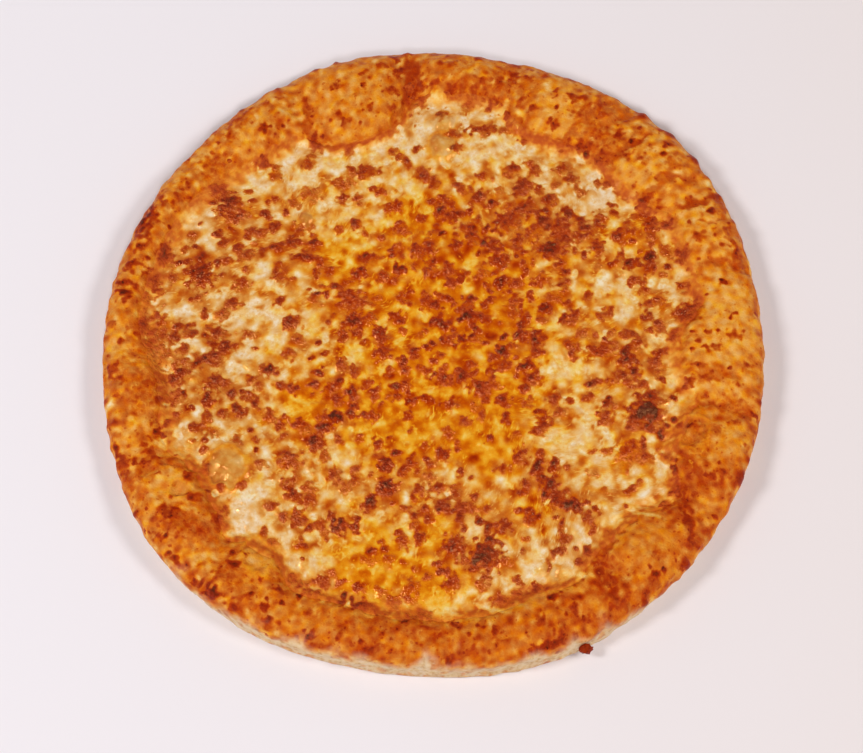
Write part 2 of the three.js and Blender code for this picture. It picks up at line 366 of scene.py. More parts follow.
# %% The cheese's top
COARSE = 2.5
coarse_axis = np.arange(-MAP_HALF, MAP_HALF + COARSE, COARSE)
heights = np.zeros((len(coarse_axis), len(coarse_axis)))
known = np.zeros_like(heights)
for j, y in enumerate(coarse_axis):
    for i, x in enumerate(coarse_axis):
        hit = ray_mm(cheese_solid, (x, y, ABOVE), (0.0, 0.0, -1.0))
        if hit is not None:
            heights[j, i] = hit[2]
            known[j, i] = 1.0
wide = soften(known, 9.0, (COARSE, COARSE))
spread_out = soften(heights, 9.0, (COARSE, COARSE)) / np.maximum(wide, 1e-6)
heights = heights * known + spread_out * (1.0 - known)
cheese_top = look_up(soften(heights, 2.2, (COARSE, COARSE)), plan_x, plan_y, COARSE)
in_plan = np.hypot(plan_x, plan_y) < 110.0
print("cheese top from", cheese_top[in_plan].min().round(1), "to", cheese_top[in_plan].max().round(1), "mm")

# %% [markdown]
# ## Where the cheese is pale and where it's toasted
#
# Shredded cheese melts into a sheet. Where it is thick and wet it stays cream, where its fat runs it turns
# gold and orange, and every bubble that stands up toasts red-brown, the tallest almost black. The larger
# pools and toasted patches are listed one by one, and the wide regions of oil and of strong browning too.

# %% Pale pools
# Each pool: x, y, its two widths in mm, and its turn in degrees.
PALE_POOLS = [
    (-115, 66, 9, 6, 10), (-87, 80, 15, 9, 20), (-72, 92, 12, 6, -10), (-62, 105, 8, 5, 20),
    (-62, 84, 10, 6, 0), (-64, 71, 6, 9, 0), (-121, 17, 12, 6, 20), (-98, 28, 4, 9, 0),
    (-95, 14, 24, 4, 20), (-84, 22, 12, 6, 20), (-80, 40, 9, 8, 0), (-58, 8, 11, 9, 0),
    (-60, 17, 6, 4, 0), (-124, -11, 6, 5, 0), (-98.5, -38.5, 14, 4.5, -45), (-124, -48, 6, 5, 0),
    (-105, -53, 8, 6, 0), (-66, -31, 9, 7, 0), (-84, -4, 11, 7, 0), (-74, 2, 9, 13, 0),
    (-43, 95, 15, 7, 0), (-27, 103, 17, 7, 15), (-17, 104, 8, 8, 0), (-7, 108, 6, 24, 0),
    (-31, 84, 9, 5, 0), (-13, 86, 8, 9, 0), (-8, 77, 5, 9, 0), (-27, 75, 6, 5, 0), (-47, 77, 8, 5, 0),
    (-40, 69, 8, 6, 0), (-27, 65, 4, 6, 0), (-32.5, 57, 4, 15, 0), (-44, 57, 15, 6, 0),
    (-46, 45, 6, 6, 0), (0, 130, 14, 6, 10), (6, 125, 10, 5, 0), (28, 121, 9, 5, 0), (33, 123, 6, 6, 0),
    (14, 98, 8, 7, 0), (24, 99, 16, 6, 0), (38, 104, 15, 8, -30), (52, 83, 12, 10, 0),
    (57, 98, 6, 11, 0), (20, 91, 5, 6, 0), (42, 62, 5, 5, 0), (53, 42, 6, 5, 0), (75, 87, 11, 7, 0),
    (77, 74, 9, 9, 0), (85, 74, 8, 8, -40), (92, 72, 11, 5, 10), (83, 53, 8, 7, 0), (93, 49, 7, 5, 0),
    (104, 50, 5, 5, 0), (-24.5, 12.5, 15, 3, 47), (-16, 3, 11, 2.6, 40), (-38, -5, 8, 17, 0),
    (14, 34, 4, 5.5, 0), (18, 43, 8, 4, 15), (45, 27, 9, 7, 0), (57, -7, 7, 22, 10),
    (52, -45, 15, 12, 0), (-45, -55, 17, 10, -20), (-37, -35, 7, 3, 45), (28, -13, 18, 3, -10),
    (-14, -6, 7, 3.5, 15), (-5, 17, 9, 3.5, -35), (58, 13, 6, 5, 0), (80, 28, 6, 5, 0),
    (90, 26, 7, 26, 0), (105, 5, 11, 8, 0), (80, 5, 7, 5, 0), (62, -12, 22, 7, -54),
    (108, -17, 9, 6, 0), (119, -19, 5, 11, 10), (71, -35, 8, 14, 0), (78, -53, 11, 9, 0),
    (61, -48, 15, 8, -20), (100, -53, 6, 6, 0), (115, 37, 8, 7, 0), (111, 30, 5, 7, 0),
    (94, 44, 5, 6, 0), (-88, -78, 12, 14, 0), (-80, -71, 13, 6, 10), (-88, -91, 18, 3.6, 5),
    (-62, -79, 10, 3, -30), (-77, -85, 13, 4, 10), (-52, -90, 8, 4, 0), (-53, -103, 8, 8, 0),
    (-62, -106, 5, 6, 0), (-57, -63, 6, 6, 0), (-78, -60, 4, 10, 0), (-14, -88, 9, 7, 0),
    (-41, -77, 6, 6, 0), (-3, -96, 6, 4, 0), (-48, -103, 8, 4, 0), (18, -90, 10, 13, -30),
    (4, -127, 14, 11, 0), (14, -119, 6, 10, -20), (27, -127, 16, 4, -20), (33, -99, 6, 9, 0),
    (57, -105, 7, 7, 0), (45, -108, 5, 18, 5), (38, -113, 7, 6, 0), (-38, -125, 7, 3, 30),
    (33, -68, 8, 4, 0), (76, -65, 8, 8, 0), (87, -76, 7, 4, 0), (99, -76, 6, 7, 0),
    (103, -62, 5, 11, 0), (81, -85, 9, 6, 0), (96, -83, 12, 3, -15), (66, -91, 8, 5, 0),
    (64, -111, 12, 3.5, -10), (66, -66, 6, 5, 0), (-131, 27, 8, 5, 0),
]
print(len(PALE_POOLS), "pale pools")

# %% Toasted patches
# Each patch: x, y, its two widths in mm, its turn in degrees, and how dark it is from 0 to 1.
TOASTED = [
    (-97, 73, 9, 12, -35, .97), (-102, 80, 9, 6, 0, .8), (-93, 66, 7, 6, 0, .9),
    (-57, 106, 5, 6, 0, .88), (-60, 94, 6, 5, 0, .75), (-75, 88, 6, 5, 0, .66),
    (-58, 78, 11, 7, 0, .62), (-75, 61, 6, 6, 0, .86), (-82, 58, 6, 5, 0, .8),
    (-79, 67, 8, 4, -40, .85), (-74, 51, 6, 5, 0, .84), (-99, 53, 5, 5, 0, .8), (-98, 43, 6, 5, 0, .78),
    (-56, 52, 7, 6, 0, .82), (-59, 45, 15, 4, -5, .86), (-88, 46, 8, 7, 0, .72), (-60, 62, 7, 5, 0, .7),
    (-32, 90, 12, 6, 8, .82), (-4, 88, 11, 5.5, -12, .88), (0, 83, 4, 5, 0, .8),
    (-43, 84, 10, 6, 0, .72), (-43, 76, 5, 5, 0, .85), (-25, 79, 5, 4, 0, .8), (-36, 76, 5, 5, 0, .74),
    (-17, 98, 5, 5, 0, .76), (-20, 71, 7, 4, 0, .76), (-37, 63, 5, 6, 0, .84), (-45, 60, 5, 4, 0, .74),
    (4, 70, 5, 9, 20, .9), (7, 74, 5, 5, 0, .8), (12, 68, 6, 4, 0, .82), (22, 77, 7, 6, 0, .86),
    (28, 74, 5, 4, 0, .9), (18, 57, 6, 4, 0, .86), (26, 53, 11, 4.5, -15, .92), (40, 70, 5, 7, 0, .84),
    (40, 54, 4, 6, 0, .88), (37, 65, 11, 8, 0, .8), (52, 65, 7, 11, 0, .9), (56, 49, 13, 8, 0, .92),
    (31, 45, 9, 7, 0, .84), (43, 82, 8, 10, -30, .84), (48, 91, 6, 5, 0, .8), (36, 90, 5, 7, 0, .76),
    (24, 88, 8, 4, 0, .74), (25, 113, 18, 4.5, 0, .84), (9, 133, 7, 5, 0, .76), (60, 62, 9, 9, 0, .8),
    (64, 68, 6, 6, 0, .9), (66, 86, 6, 6, 0, .76), (55, 74, 5, 6, -30, .84), (72, 60, 9, 5, 20, .84),
    (62, 55, 12, 9, 0, .8), (78, 64, 5, 9, 0, .8), (83, 84, 5, 4, 0, .8), (70, 80, 5, 5, 0, .72),
    (100, 73, 6, 6, 0, .86), (103, 62, 7, 14, 0, .8), (102, 43, 6, 11, 0, .93), (116, 48, 4, 5, 0, .84),
    (98, 33, 5, 5, 0, .8), (99, 28, 4, 5, 0, .7), (118, 17, 10, 8, 15, .9), (101, 22, 4, 4, 0, .8),
    (99, 14, 4, 4, 0, .84), (105, 12, 6, 3, 0, .8), (66, 15, 5, 4, 0, .78), (52, 19, 7, 6, 0, .88),
    (90, 6, 4, 5, 0, .8), (95, 2, 4.5, 4.5, 0, .82), (65, -3, 6, 6, 0, .82), (79, -2, 13, 6, 0, .8),
    (74, -2, 4, 4, 0, .86), (90, -7, 8, 7, 0, .92), (88, -15, 7, 6, 0, .8), (103, -8, 6, 10, 0, .76),
    (75, -18, 10, 3, 10, .92), (71, -25, 6, 4, 0, .8), (80, -28, 5, 6, 0, .9), (79, -36, 7, 8, 0, .74),
    (98, -34, 14, 13, 0, .84), (100, -25, 7, 6, 0, .88), (104, -44, 3.5, 5, 0, 1.05),
    (56, -26, 6, 6, 0, .8), (51, -38, 7.5, 7, 0, .85), (58, -33, 7, 5, 0, .66),
    (90, -52, 12, 11, 0, .68), (96, -50, 2.6, 10, 0, .86), (-109, 36, 12, 13, 0, .9),
    (-126, 46, 7, 9, 0, .86), (-130, 33, 5, 6, 0, .76), (-122, 35, 4, 6, 0, .74),
    (-94, 22, 6, 6, 0, .8), (-98, 16, 6, 5, 0, .7), (-72, 36, 7, 7, 0, .76), (-72, 23, 5, 4, 0, .88),
    (-66, 12, 8, 7, 0, .85), (-54, 26.5, 8, 2, 10, .97), (-100, 7, 8, 7, 0, .8), (-86, 6, 8, 4, 0, .7),
    (-97, 0, 9, 6, 0, .9), (-107, -7, 8, 4.5, 15, .96), (-100, -4, 13, 5, 25, .86),
    (-116, -12, 11, 5, 0, .86), (-101, -18, 8, 8, 0, .85), (-104, -26, 5, 9, 10, .95),
    (-86, -24, 7, 5, 0, .84), (-89, -32, 7, 6, 0, .9), (-84, -17, 5, 4, 0, .74),
    (-109, -40, 8, 4, 0, .84), (-97, -33, 6, 4, 0, .8), (-135, 10, 5, 9, 0, .82),
    (-138, 5, 4, 3, 0, .88), (-126, 6, 7, 5, 0, .84), (-130, 0, 4, 6, 0, .88),
    (-118, -25, 6, 9, 0, .72), (-53, -13, 5, 4, 0, .92), (-55, -19, 5, 4, 0, .86),
    (-70, -20, 6, 4, 0, .8), (-64, -22, 4, 4, 0, .86), (-62, -38, 6, 5, 0, .8),
    (-52, -41, 5, 5, 0, .98), (-54, -48, 8, 8, 0, .93), (-45, -35.5, 9, 6, -15, 1.),
    (-49, -40, 6, 5, 0, .97), (-38, -24, 5, 9, 10, .9), (-36, -30, 4, 5, 0, .84),
    (-46, -21, 8, 6, 0, .78), (-32, 45, 6, 6, 0, .86), (-35, 36, 8, 6, 0, .84), (-24, 35, 6, 5, 0, .78),
    (-45, 30, 7, 3, -20, .9), (-37, 24, 14, 8, -25, .82), (-36, 13, 9, 10, -20, .88),
    (-42, 5, 4, 5, 0, .88), (-24, 4, 6, 6, 0, .82), (-24, -4, 8, 7, 0, .8), (-16, 13, 5, 4, 0, .84),
    (-13, -12, 5, 5, 0, .8), (-8, -2, 5, 3, 0, .9), (-15, -20, 9, 5, 0, .88), (-28, -22, 4, 3, 0, .84),
    (-3, -26, 6, 3.5, 0, .86), (5, -17, 8, 6, 0, .84), (13, -15, 8, 7, 0, .92), (22, -21, 9, 8, 0, .86),
    (24, -26, 4, 4, 0, .88), (0, 21, 7, 5, 0, .88), (5, 11, 9, 5, -35, .93), (13, 4, 4, 4, 0, .93),
    (16, 15, 8, 11, -10, .93), (17, 24, 6, 4, 0, .88), (23, 14, 5, 4, 0, .86), (32, -3, 7, 7, 0, .95),
    (48, 4, 8, 7, 0, .92), (48, -3, 7, 5, 0, .8), (43, -10, 8, 6, 0, .9), (46, -16, 7, 6, 0, .84),
    (42, -21, 5, 4, 0, .84), (49, -32, 4, 3.5, 0, .93), (33, -36, 4, 6, 0, .86), (32, 34, 6, 4, 0, .92),
    (8, 33, 5, 6, 0, .86), (30, 50, 7, 5, 0, .84), (50, 33, 8, 5, 0, .78), (8, 38, 6, 4, 0, .8),
    (38, 17, 5, 5, 0, .74), (-22, -59, 6, 8, 0, .93), (-10, -58, 4, 4, 0, .86), (-2, -57, 5, 4, 0, .9),
    (-21, -70, 9, 9, 0, .9), (-29, -77, 6, 8, 0, .93), (-43, -88, 7, 8, 0, .97),
    (-35, -88, 4, 8, 0, .88), (-28, -100, 5, 4, 0, .86), (-8, -83, 5, 4, 0, .82),
    (-4, -79, 4, 3.5, 0, .84), (3, -77, 5, 4, 0, .8), (10, -98, 10, 10, 0, .86),
    (5, -109, 7, 4, 0, .86), (8, -115, 8, 7, 0, .8), (23, -103, 16, 12, 15, .95),
    (26, -95, 6, 6, 0, .94), (31, -90, 5, 5, 0, .82), (14, -79, 11, 7, 0, .82), (12, -83, 5, 4, 0, .88),
    (21, -86, 5, 4, 0, .88), (48, -60, 5, 10, 0, .94), (53, -69, 8, 10, 0, .9),
    (63, -78, 12, 7, 0, .95), (55, -75, 8, 8, 0, .86), (42, -68, 5, 5, 0, .8), (30, -122, 6, 4, 0, .8),
    (46, -117, 4, 5, 0, .88), (57, -100, 5, 4, 0, .86), (59, -94, 6, 5, 0, .82),
    (65, -105, 3.5, 4, 0, .86), (72, -90, 4, 4, 0, .8), (-65, -57, 9, 9, 0, .76),
    (-63, -73, 14, 5, -45, .86), (-73, -78, 6, 4, 0, .86), (-60, -86, 9, 6, 0, .8),
    (-59, -97, 5, 4, 0, .84), (-97, -86, 6, 9, 0, .78), (-104, -92, 14, 8, 0, .72),
    (-118, -84, 9, 7, 0, .88), (-111, -66, 4, 4, 0, .88), (-108, -76, 7, 4, 0, .88),
    (-90, -102, 3, 4, 0, .95), (-89, -108, 6, 4, 0, .92), (-68, -120, 7, 3, -20, .85),
    (-45, -64, 6, 7, 0, .74), (-36, -66, 5, 5, 0, .76), (-56, -75, 6, 7, 0, .74),
]
print(len(TOASTED), "toasted patches")

# %% Wide regions
# Each region: x, y, radius in mm and amount. Oily ones are deep orange, milky ones cream.
OILY = [(5, 12, 66, .85), (-60, -30, 15, .9), (-18, -38, 22, .8), (22, -48, 18, .8), (35, -28, 14, .5),
        (-28, -105, 22, .95), (2, -117, 14, .9), (0, -92, 11, .7), (45, -80, 11, .8), (-8, 66, 13, .9),
        (-45, 48, 13, .7), (92, 60, 13, .7), (90, -52, 10, .7), (-76, -2, 8, .5)]
MILKY = [(-100, -5, 45, .5), (78, 78, 20, .9), (-90, -88, 18, .7), (8, -66, 10, .5), (62, -102, 16, .7),
         (0, 125, 25, .8), (-115, 65, 16, .6), (-62, 104, 14, .5), (48, 82, 10, .5)]
DARKER = [(35, 60, 36, .11), (63, 60, 20, .10), (25, 5, 34, .13), (-45, 20, 22, .09), (-50, -28, 24, .09),
          (90, -5, 17, .12), (98, -32, 14, .1), (55, -72, 20, .12), (22, -100, 18, .08), (-25, -72, 18, .07),
          (15, -80, 15, .07), (-108, 38, 16, .12), (-100, -5, 18, .11), (-105, -25, 16, .1),
          (-60, -60, 17, .07), (100, 45, 13, .11), (-62, 50, 16, .08), (-92, 65, 14, .12),
          (-75, 55, 20, .07), (100, 68, 12, .12), (103, 10, 14, .08), (-118, -88, 14, .1),
          (-12, 45, 16, .07), (5, 50, 20, .1)]
PALER = [(-75, 2, 24, -.09), (-76, 26, 18, -.05), (-50, 90, 30, -.09), (30, 103, 24, -.13),
         (-10, 100, 24, -.11), (90, 26, 15, -.11), (78, 76, 17, -.14), (58, -45, 20, -.10),
         (-85, -80, 20, -.10), (-45, 57, 17, -.09), (5, -124, 16, -.09), (76, -50, 14, -.07),
         (-85, 84, 18, -.1), (105, 0, 10, -.08), (66, -12, 16, -.08), (-45, -55, 14, -.08),
         (-30, -100, 18, -.05), (40, -108, 18, -.08), (85, -80, 18, -.05), (-98, -45, 14, -.07)]
oil = 0.38 + regions(OILY) - 0.6 * regions(MILKY)
oil = np.clip(oil + 0.14 * mottle(41, 14) + 0.16 * mottle(42, 6), 0.0, 1.0)
browning = regions(DARKER) + regions(PALER)
print("oil from", oil.min().round(2), "to", oil.max().round(2))

# %% [markdown]
# ## Marks on the rim
#
# The oven marks the rim by hand's-breadths: gold on the raised lobes, orange in the creases between them,
# red-brown where sauce and fat ran, and small near-black scorches towards the edge. The creases are drawn
# darker still, partly with the real browning of sauce and fat and partly with painted shade. The larger
# marks are laid where they are on the real pizza, and seeded mottling fills in between them.

# %% Marks by place
# Each mark: x, y, its two widths in mm, its turn in degrees, and how dark it is from 0 to 1.
RIM_MARKS = [
    (-82, 110, 4, 2.5, 30, .92), (-97, 108, 4, 6, 0, .78), (-93, 115, 12, 5, 39, .72),
    (-107, 87, 7, 6, 0, .64), (-120, 74, 15, 3.5, 23, .76), (-137, 59, 18, 4, 77, .92),
    (-144, 25, 5, 5, 0, .97), (-142, 38, 5, 5, 0, .87), (-145, 30, 5, 4, 0, .87),
    (-134, 36, 3, 3, 0, .82), (-133, 25, 4, 4, 0, .72), (-130, 2, 14, 26, 5, .66),
    (-148, -13, 4, 6, 0, .87), (-144, -18, 5, 4, 0, .82), (-133, -27, 11, 11, 0, .62),
    (-126, -28, 6, 5, 0, .82), (-132, -59, 5, 1.8, 20, .87), (-141, -62, 4, 4, 0, .86),
    (-142.5, -57.5, 23, 3.5, -67, .86), (-133, -66, 7, 7, 0, .6), (-120, -84, 9, 7, 0, .84),
    (-125, -86, 4, 4, 0, .78), (-124, -94, 4, 3, 0, .78), (-115.5, -105, 8, 3, -50, .87),
    (-107, -115, 5, 4, 0, .87), (-100, -121, 9, 7, -35, 1.0), (-88, -128, 6, 4, -35, .83),
    (-83, -125, 7, 5, 0, .7), (-73, -134, 5, 4, 0, .87), (-55, -140, 5, 4, 0, .95),
    (-92, -113, 14, 8, -40, .7), (-62, -114, 10, 5, -25, .7), (-40, -122, 2.4, 4, 0, 1.0),
    (-12, -134, 4, 6, 0, .92), (-5, -133, 15, 7, 0, .66), (10, -135, 6, 3, 0, .82),
    (-27, -147, 8, 4, 0, .87), (-33, -145, 5, 4, 0, .84), (8, -150, 10, 2.4, 0, .87),
    (28, -138, 4, 4, 0, .87), (54, -143, 13, 4, 18, .92), (48, -135, 4, 4, 0, .82),
    (32, -143, 4, 3, 0, .82), (18, -147, 4, 3, 0, .82), (63, -128, 6, 4, 0, .82),
    (70, -133, 5, 4, 0, .78), (57, -139, 4, 4, 0, .82), (85, -125, 10, 5, 35, .75),
    (98, -115, 4, 4, 0, .82), (99, -103, 4, 4, 0, .82), (95, -120, 4, 4, 0, .82),
    (116, -97, 5, 6, 0, .87), (114, -107, 5, 4, 0, .92), (78, -107, 14, 7, -30, .72),
    (125, -66, 5, 3, 0, .95), (132, -64, 3, 3, 0, .87), (110, -62, 3, 8, 0, .93),
    (112, -73, 6, 6, 0, .78), (107, -79, 6, 5, 0, .76), (115, -80, 6, 5, 0, .76),
    (126, -3, 2.6, 2.2, 0, .88), (130, -3, 2.4, 2.4, 0, .88), (105, -3, 2.6, 2.4, 0, .88),
    (123, 1, 2.5, 2.2, 0, .88), (127, 5, 2.4, 2.4, 0, .86), (145, -12, 2.6, 2.6, 0, .86),
    (139, 3, 4, 4, 0, .74), (122, -11, 4, 2, 0, .84), (66, 127, 4, 4, 0, .92), (88, 108, 5, 4, 0, .92),
    (82, 102, 4, 4, 0, .84), (92, 97, 4, 4, 0, .84), (80, 122, 10, 8, 0, .72), (70, 118, 6, 5, 0, .76),
    (71, 103, 6, 5, 0, .82), (75, 104, 5, 5, 0, .84), (82, 97, 8, 5, 0, .8),
    (121, 61, 2.5, 2.5, 0, .88), (125, 54, 5, 5, 0, .76), (138, 56, 5, 5, 0, .72),
    (-32, 121, 5, 3, 0, .92), (-45, 118, 3.5, 3.5, 0, .84), (-41, 116, 3, 3, 0, .84),
    (-34, 133, 2.2, 2.2, 0, .9), (-35, 139, 2.2, 2.2, 0, .86), (-46, 133, 6, 3, 0, .82),
    (-20, 132, 6, 4, 0, .83), (-30, 142, 3, 3, 0, .84), (-17, 142, 6, 5, 0, .93),
    (-25, 145, 4, 2.4, 0, .87), (-12, 154, 4, 2, 0, .87), (-8, 133, 8, 15, 8, .8),
    (0, 136, 6, 3, 0, .88), (-19, 151, 4, 2.4, 0, .87), (15, 154, 5, 2, 0, .87),
    (40, 147, 5, 5, 0, .82), (38, 138, 7, 7, 0, .86), (45, 138, 3, 3, 0, .82), (30, 137, 5, 3, 0, .82),
    (4, 146, 5, 3, 0, .78), (14, 133, 8, 7, 0, .72), (25, 137, 8, 4, 0, .74), (28, 128, 6, 3, 0, .82),
    (36, 119, 4, 6, 0, .82), (48, 121, 5, 4, 0, .78), (44, 127, 8, 2.4, 40, .82),
]
print(len(RIM_MARKS), "marks by place")

# %% Marks round the rim
# Each mark: its angle, radius, width round the rim, width across it, and how dark it is.
ROUND_MARKS = [
    (8.5, 120, 7, 8, .76), (17.5, 149.5, 12, 4, .84), (1, 140, 3, 4, .72), (39.5, 147, 4, 6, .70),
    (53, 134, 12, 10, .66), (55, 125, 4, 3, .97), (55, 145, 6, 9, .68), (62.5, 143.5, 3.2, 4.5, .92),
    (74.5, 145, 4, 8, .84), (76, 139, 14, 9, .68), (71, 143, 8, 6, .64), (81, 133, 14, 5, .72),
    (86, 145, 12, 6, .62), (116, 137, 3, 7, .78), (118, 120, 3.5, 8, .86), (104.5, 125.6, 4.5, 3, .86),
    (126.2, 137.5, 3.5, 4, .95), (138, 139.4, 9, 9, .68), (141, 138, 4, 6, .78),
    (148.5, 141.5, 7, 3.5, .78), (156, 148, 22, 6, .9), (153.5, 149, 8, 6, .98), (160, 146, 6, 5, .9),
    (169.8, 146, 3.2, 7, .97), (168, 148, 4, 3, .9), (164.5, 148.5, 3, 3, .9), (143.3, 122, 8, 13, .88),
    (143.5, 113, 3, 4, .99), (184.5, 148, 3.2, 4, .93), (179.5, 145, 2.4, 2.4, .88),
    (190, 133, 15, 11, .66), (203, 140, 12, 5, .82), (203, 153, 9, 3, .84), (204, 146, 2, 5, .97),
    (214.5, 147, 7, 9, .78), (219.5, 142, 13, 9, .66), (230.7, 155.5, 9, 5, 1.0), (233, 148, 5, 5, .76),
    (230, 140.6, 4.5, 3, .88), (249, 151, 3.5, 4, .92), (247, 141, 5, 3, .74), (254, 146, 3, 5, .76),
    (259.5, 150.6, 4, 3, .88), (252, 130.6, 3, 4, 1.0), (245, 131, 20, 3.5, .76),
    (269, 137, 10, 4, .76), (275, 137, 3.4, 2.6, .86), (273.3, 150.6, 7, 3, .88),
    (288.6, 153, 4, 3, .93), (296.7, 149, 3, 3, .87), (296, 144, 4, 4, .82), (290, 144, 4, 3.5, .74),
    # The marks at 305 and 337.5 degrees are painted shade on the dark side of two dents in the rim.
    (281, 146, 3, 4, .78), (303, 152, 11, 6, .74), (305, 139, 6, 6, .84), (313.8, 143.4, 3.5, 3.5, .82),
    (311.4, 146, 1.4, 2.4, .95), (332.5, 142, 3.4, 3.4, .98), (334, 147, 1.8, 6, .84),
    (337.5, 130, 12, 8, .56), (347.5, 142, 5, 8, .66), (355, 144.5, 3.5, 3.5, .74),
    (359, 130.5, 2.6, 5, .84), (344, 144, 3, 3, .7),
]
print(len(ROUND_MARKS), "marks round the rim")

# %% Golden lobes and creases
# Each lobe: its angle, radius, width round the rim, width across it, and how dark its gold is.
GOLDEN = [
    (5, 137, 50, 26, .34), (27, 137, 34, 30, .35), (42.5, 135, 27, 36, .36), (63.5, 133, 28, 34, .36),
    (83, 146, 20, 10, .40), (107, 131, 42, 42, .43), (130, 142, 30, 16, .38), (138, 146, 12, 10, .37),
    (146, 150, 16, 8, .42), (165, 145, 18, 10, .39), (180, 146, 20, 14, .36), (200, 147, 20, 10, .42),
    (212, 140, 25, 24, .37), (226, 146, 16, 12, .34), (232.5, 130, 18, 16, .32),
    (248, 145, 34, 14, .43), (266, 147, 30, 12, .42), (283, 146, 30, 14, .41), (290, 133, 24, 8, .38),
    (277, 134, 20, 7, .42), (299, 147, 14, 12, .38), (313, 139, 38, 26, .35), (328, 146, 16, 14, .38),
    (340, 142, 25, 20, .32), (350, 135, 14, 26, .33), (359, 133, 26, 32, .34), (197, 138, 8, 6, .38),
]
# Each crease: angle and radius where it starts, the same where it ends, its width in mm and how dark it is.
# Their darkness is partly real browning of sauce and fat in the grooves and partly painted shade.
CREASES = [
    (15, 151, 18, 137, 2.6, .66), (29.5, 154, 31, 137, 3.2, .76), (34.5, 149, 38, 137, 2.6, .68),
    (37, 137, 38, 121, 1.8, .62), (46, 148, 47, 138, 1.8, .74), (47.5, 138, 49.5, 124, 2.4, .7),
    (38, 121, 42, 118.5, 2.2, .7), (42, 118.5, 49, 123, 2.2, .68), (56.5, 150, 57.5, 138, 3.2, .68),
    (57.5, 138, 60, 121, 2.2, .64), (60, 121, 66, 117, 2.4, .7), (66, 117, 71, 121, 2.2, .66),
    (94, 147, 95, 129, 5.5, .82), (95, 129, 100, 114, 2.6, .64), (100, 114, 105, 110.5, 2.2, .68),
    (105, 110.5, 112, 110.5, 2.4, .74), (112, 110.5, 117.5, 117, 2.4, .7),
    (118.5, 126, 116, 138, 2.6, .7), (185, 127, 192, 126, 2.2, .68), (205.5, 147, 206.5, 134, 1.8, .62),
    (206.5, 134, 209, 124, 1.8, .62), (209, 123.5, 215, 121.5, 2.2, .68),
    (217, 150, 218.5, 138, 2.2, .66), (215, 121.5, 218.5, 129, 1.8, .64),
    (228, 140, 229.5, 127, 2.0, .68), (229.5, 127, 233, 122.5, 1.8, .68),
    (233, 122.5, 238, 127, 1.8, .64), (238, 127, 239, 139, 1.8, .62), (257, 131, 266, 131, 2.0, .64),
    (270, 130.5, 280, 129.5, 2.0, .64), (283, 129, 292, 127, 2.0, .66), (292, 127, 298, 129, 1.8, .64),
    (303.5, 147, 304.5, 134, 3.6, .76), (304.5, 134, 308, 125, 3.0, .72),
    (308, 125, 315, 121.5, 2.0, .66), (315, 121.5, 322, 125.5, 2.0, .64),
    (321.5, 149, 329, 129, 3.2, .76), (331, 140, 335.5, 122, 2.4, .66),
    (335.5, 122, 343, 119.5, 2.2, .66), (343, 119.5, 346, 124, 2.0, .64),
    (346, 149, 347, 124, 1.8, .66), (353, 143, 353, 122, 1.8, .54), (340, 128, 342, 137, 1.8, .62),
    (337, 117, 343, 125, 2.0, .68), (343, 125, 341, 137, 1.8, .62), (25, 150, 26, 142, 1.6, .66),
    (52, 153, 53, 144, 2.0, .66),
]
print(len(GOLDEN), "golden lobes,", len(CREASES), "creases")

# %% [markdown]
# ## Blisters, threads and pools
#
# Spots and pools are kept as levels, 1 in the middle, 0 at the edge and below 0 outside. The finish cuts
# them at 0, so their edges come out far crisper than the mesh. Between the listed spots,
# small blisters cover the sheet on a loose net, since each pushes its neighbours away. Pale threads of
# cheese run where a random field changes sign, which gives the winding shapes of melted shreds.

# %% Where the cheese meets the rim
wander_x = 0.8 * mottle(51, 9, .5) + 0.3 * mottle(52, 4, .5)
wander_y = 0.8 * mottle(53, 9, .5) + 0.3 * mottle(54, 4, .5)
shore = np.zeros(SECTIONS)
for k, angle in enumerate(section_angles):
    line = look_up(cheese_top, radii * math.cos(angle), radii * math.sin(angle))
    under = np.nonzero(slope[k] < line)[0]
    shore[k] = radii[under[-1]]
shore = soften_round(shore, 0.8)
ragged = 0.8 * mottle(3, 9, .5) + 0.25 * mottle(2, 4.5, .5)
frayed = 0.7 * mottle(9, 6, .5) + 0.6 * mottle(10, 3.4, .4)
plan_radius = np.hypot(plan_x, plan_y)
whole_top = plan_radius < 150.0
plan_turn = np.mod(np.arctan2(plan_y, plan_x), 2.0 * np.pi)
shore_here = np.interp(plan_turn, np.append(section_angles, 2.0 * np.pi), np.append(shore, shore[0]))
beyond = plan_radius - shore_here
rim_share = smooth(-2.2, 2.2, beyond + 1.6 * ragged)
print("the cheese ends", shore.min().round(1), "to", shore.max().round(1), "mm from the middle")


# %% Pools and threads
def lay(levels, depths, x, y, across, along, turn, depth, rough):
    """Adds one ragged spot, and notes how dark it is where it is the nearest spot, with painted shade on one
    side.
    """
    area = window(x, y, max(across, along) + 3.0)
    angle = math.radians(turn)
    dx, dy = plan_x[area] - x, plan_y[area] - y
    u = (dx * math.cos(angle) + dy * math.sin(angle)) / (across / 2.0)
    v = (-dx * math.sin(angle) + dy * math.cos(angle)) / (along / 2.0)
    level = 1.0 - np.hypot(u, v) + rough * frayed[area]
    nearest = level > levels[area]
    levels[area] = np.where(nearest, level, levels[area])
    # Painted shade: each spot is drawn darker on its upper left and lighter on its lower right, as if lit
    # from one side.
    depths[area] = np.where(nearest, depth - 0.05 * np.clip(dx - dy, -1.0, 1.0), depths[area])


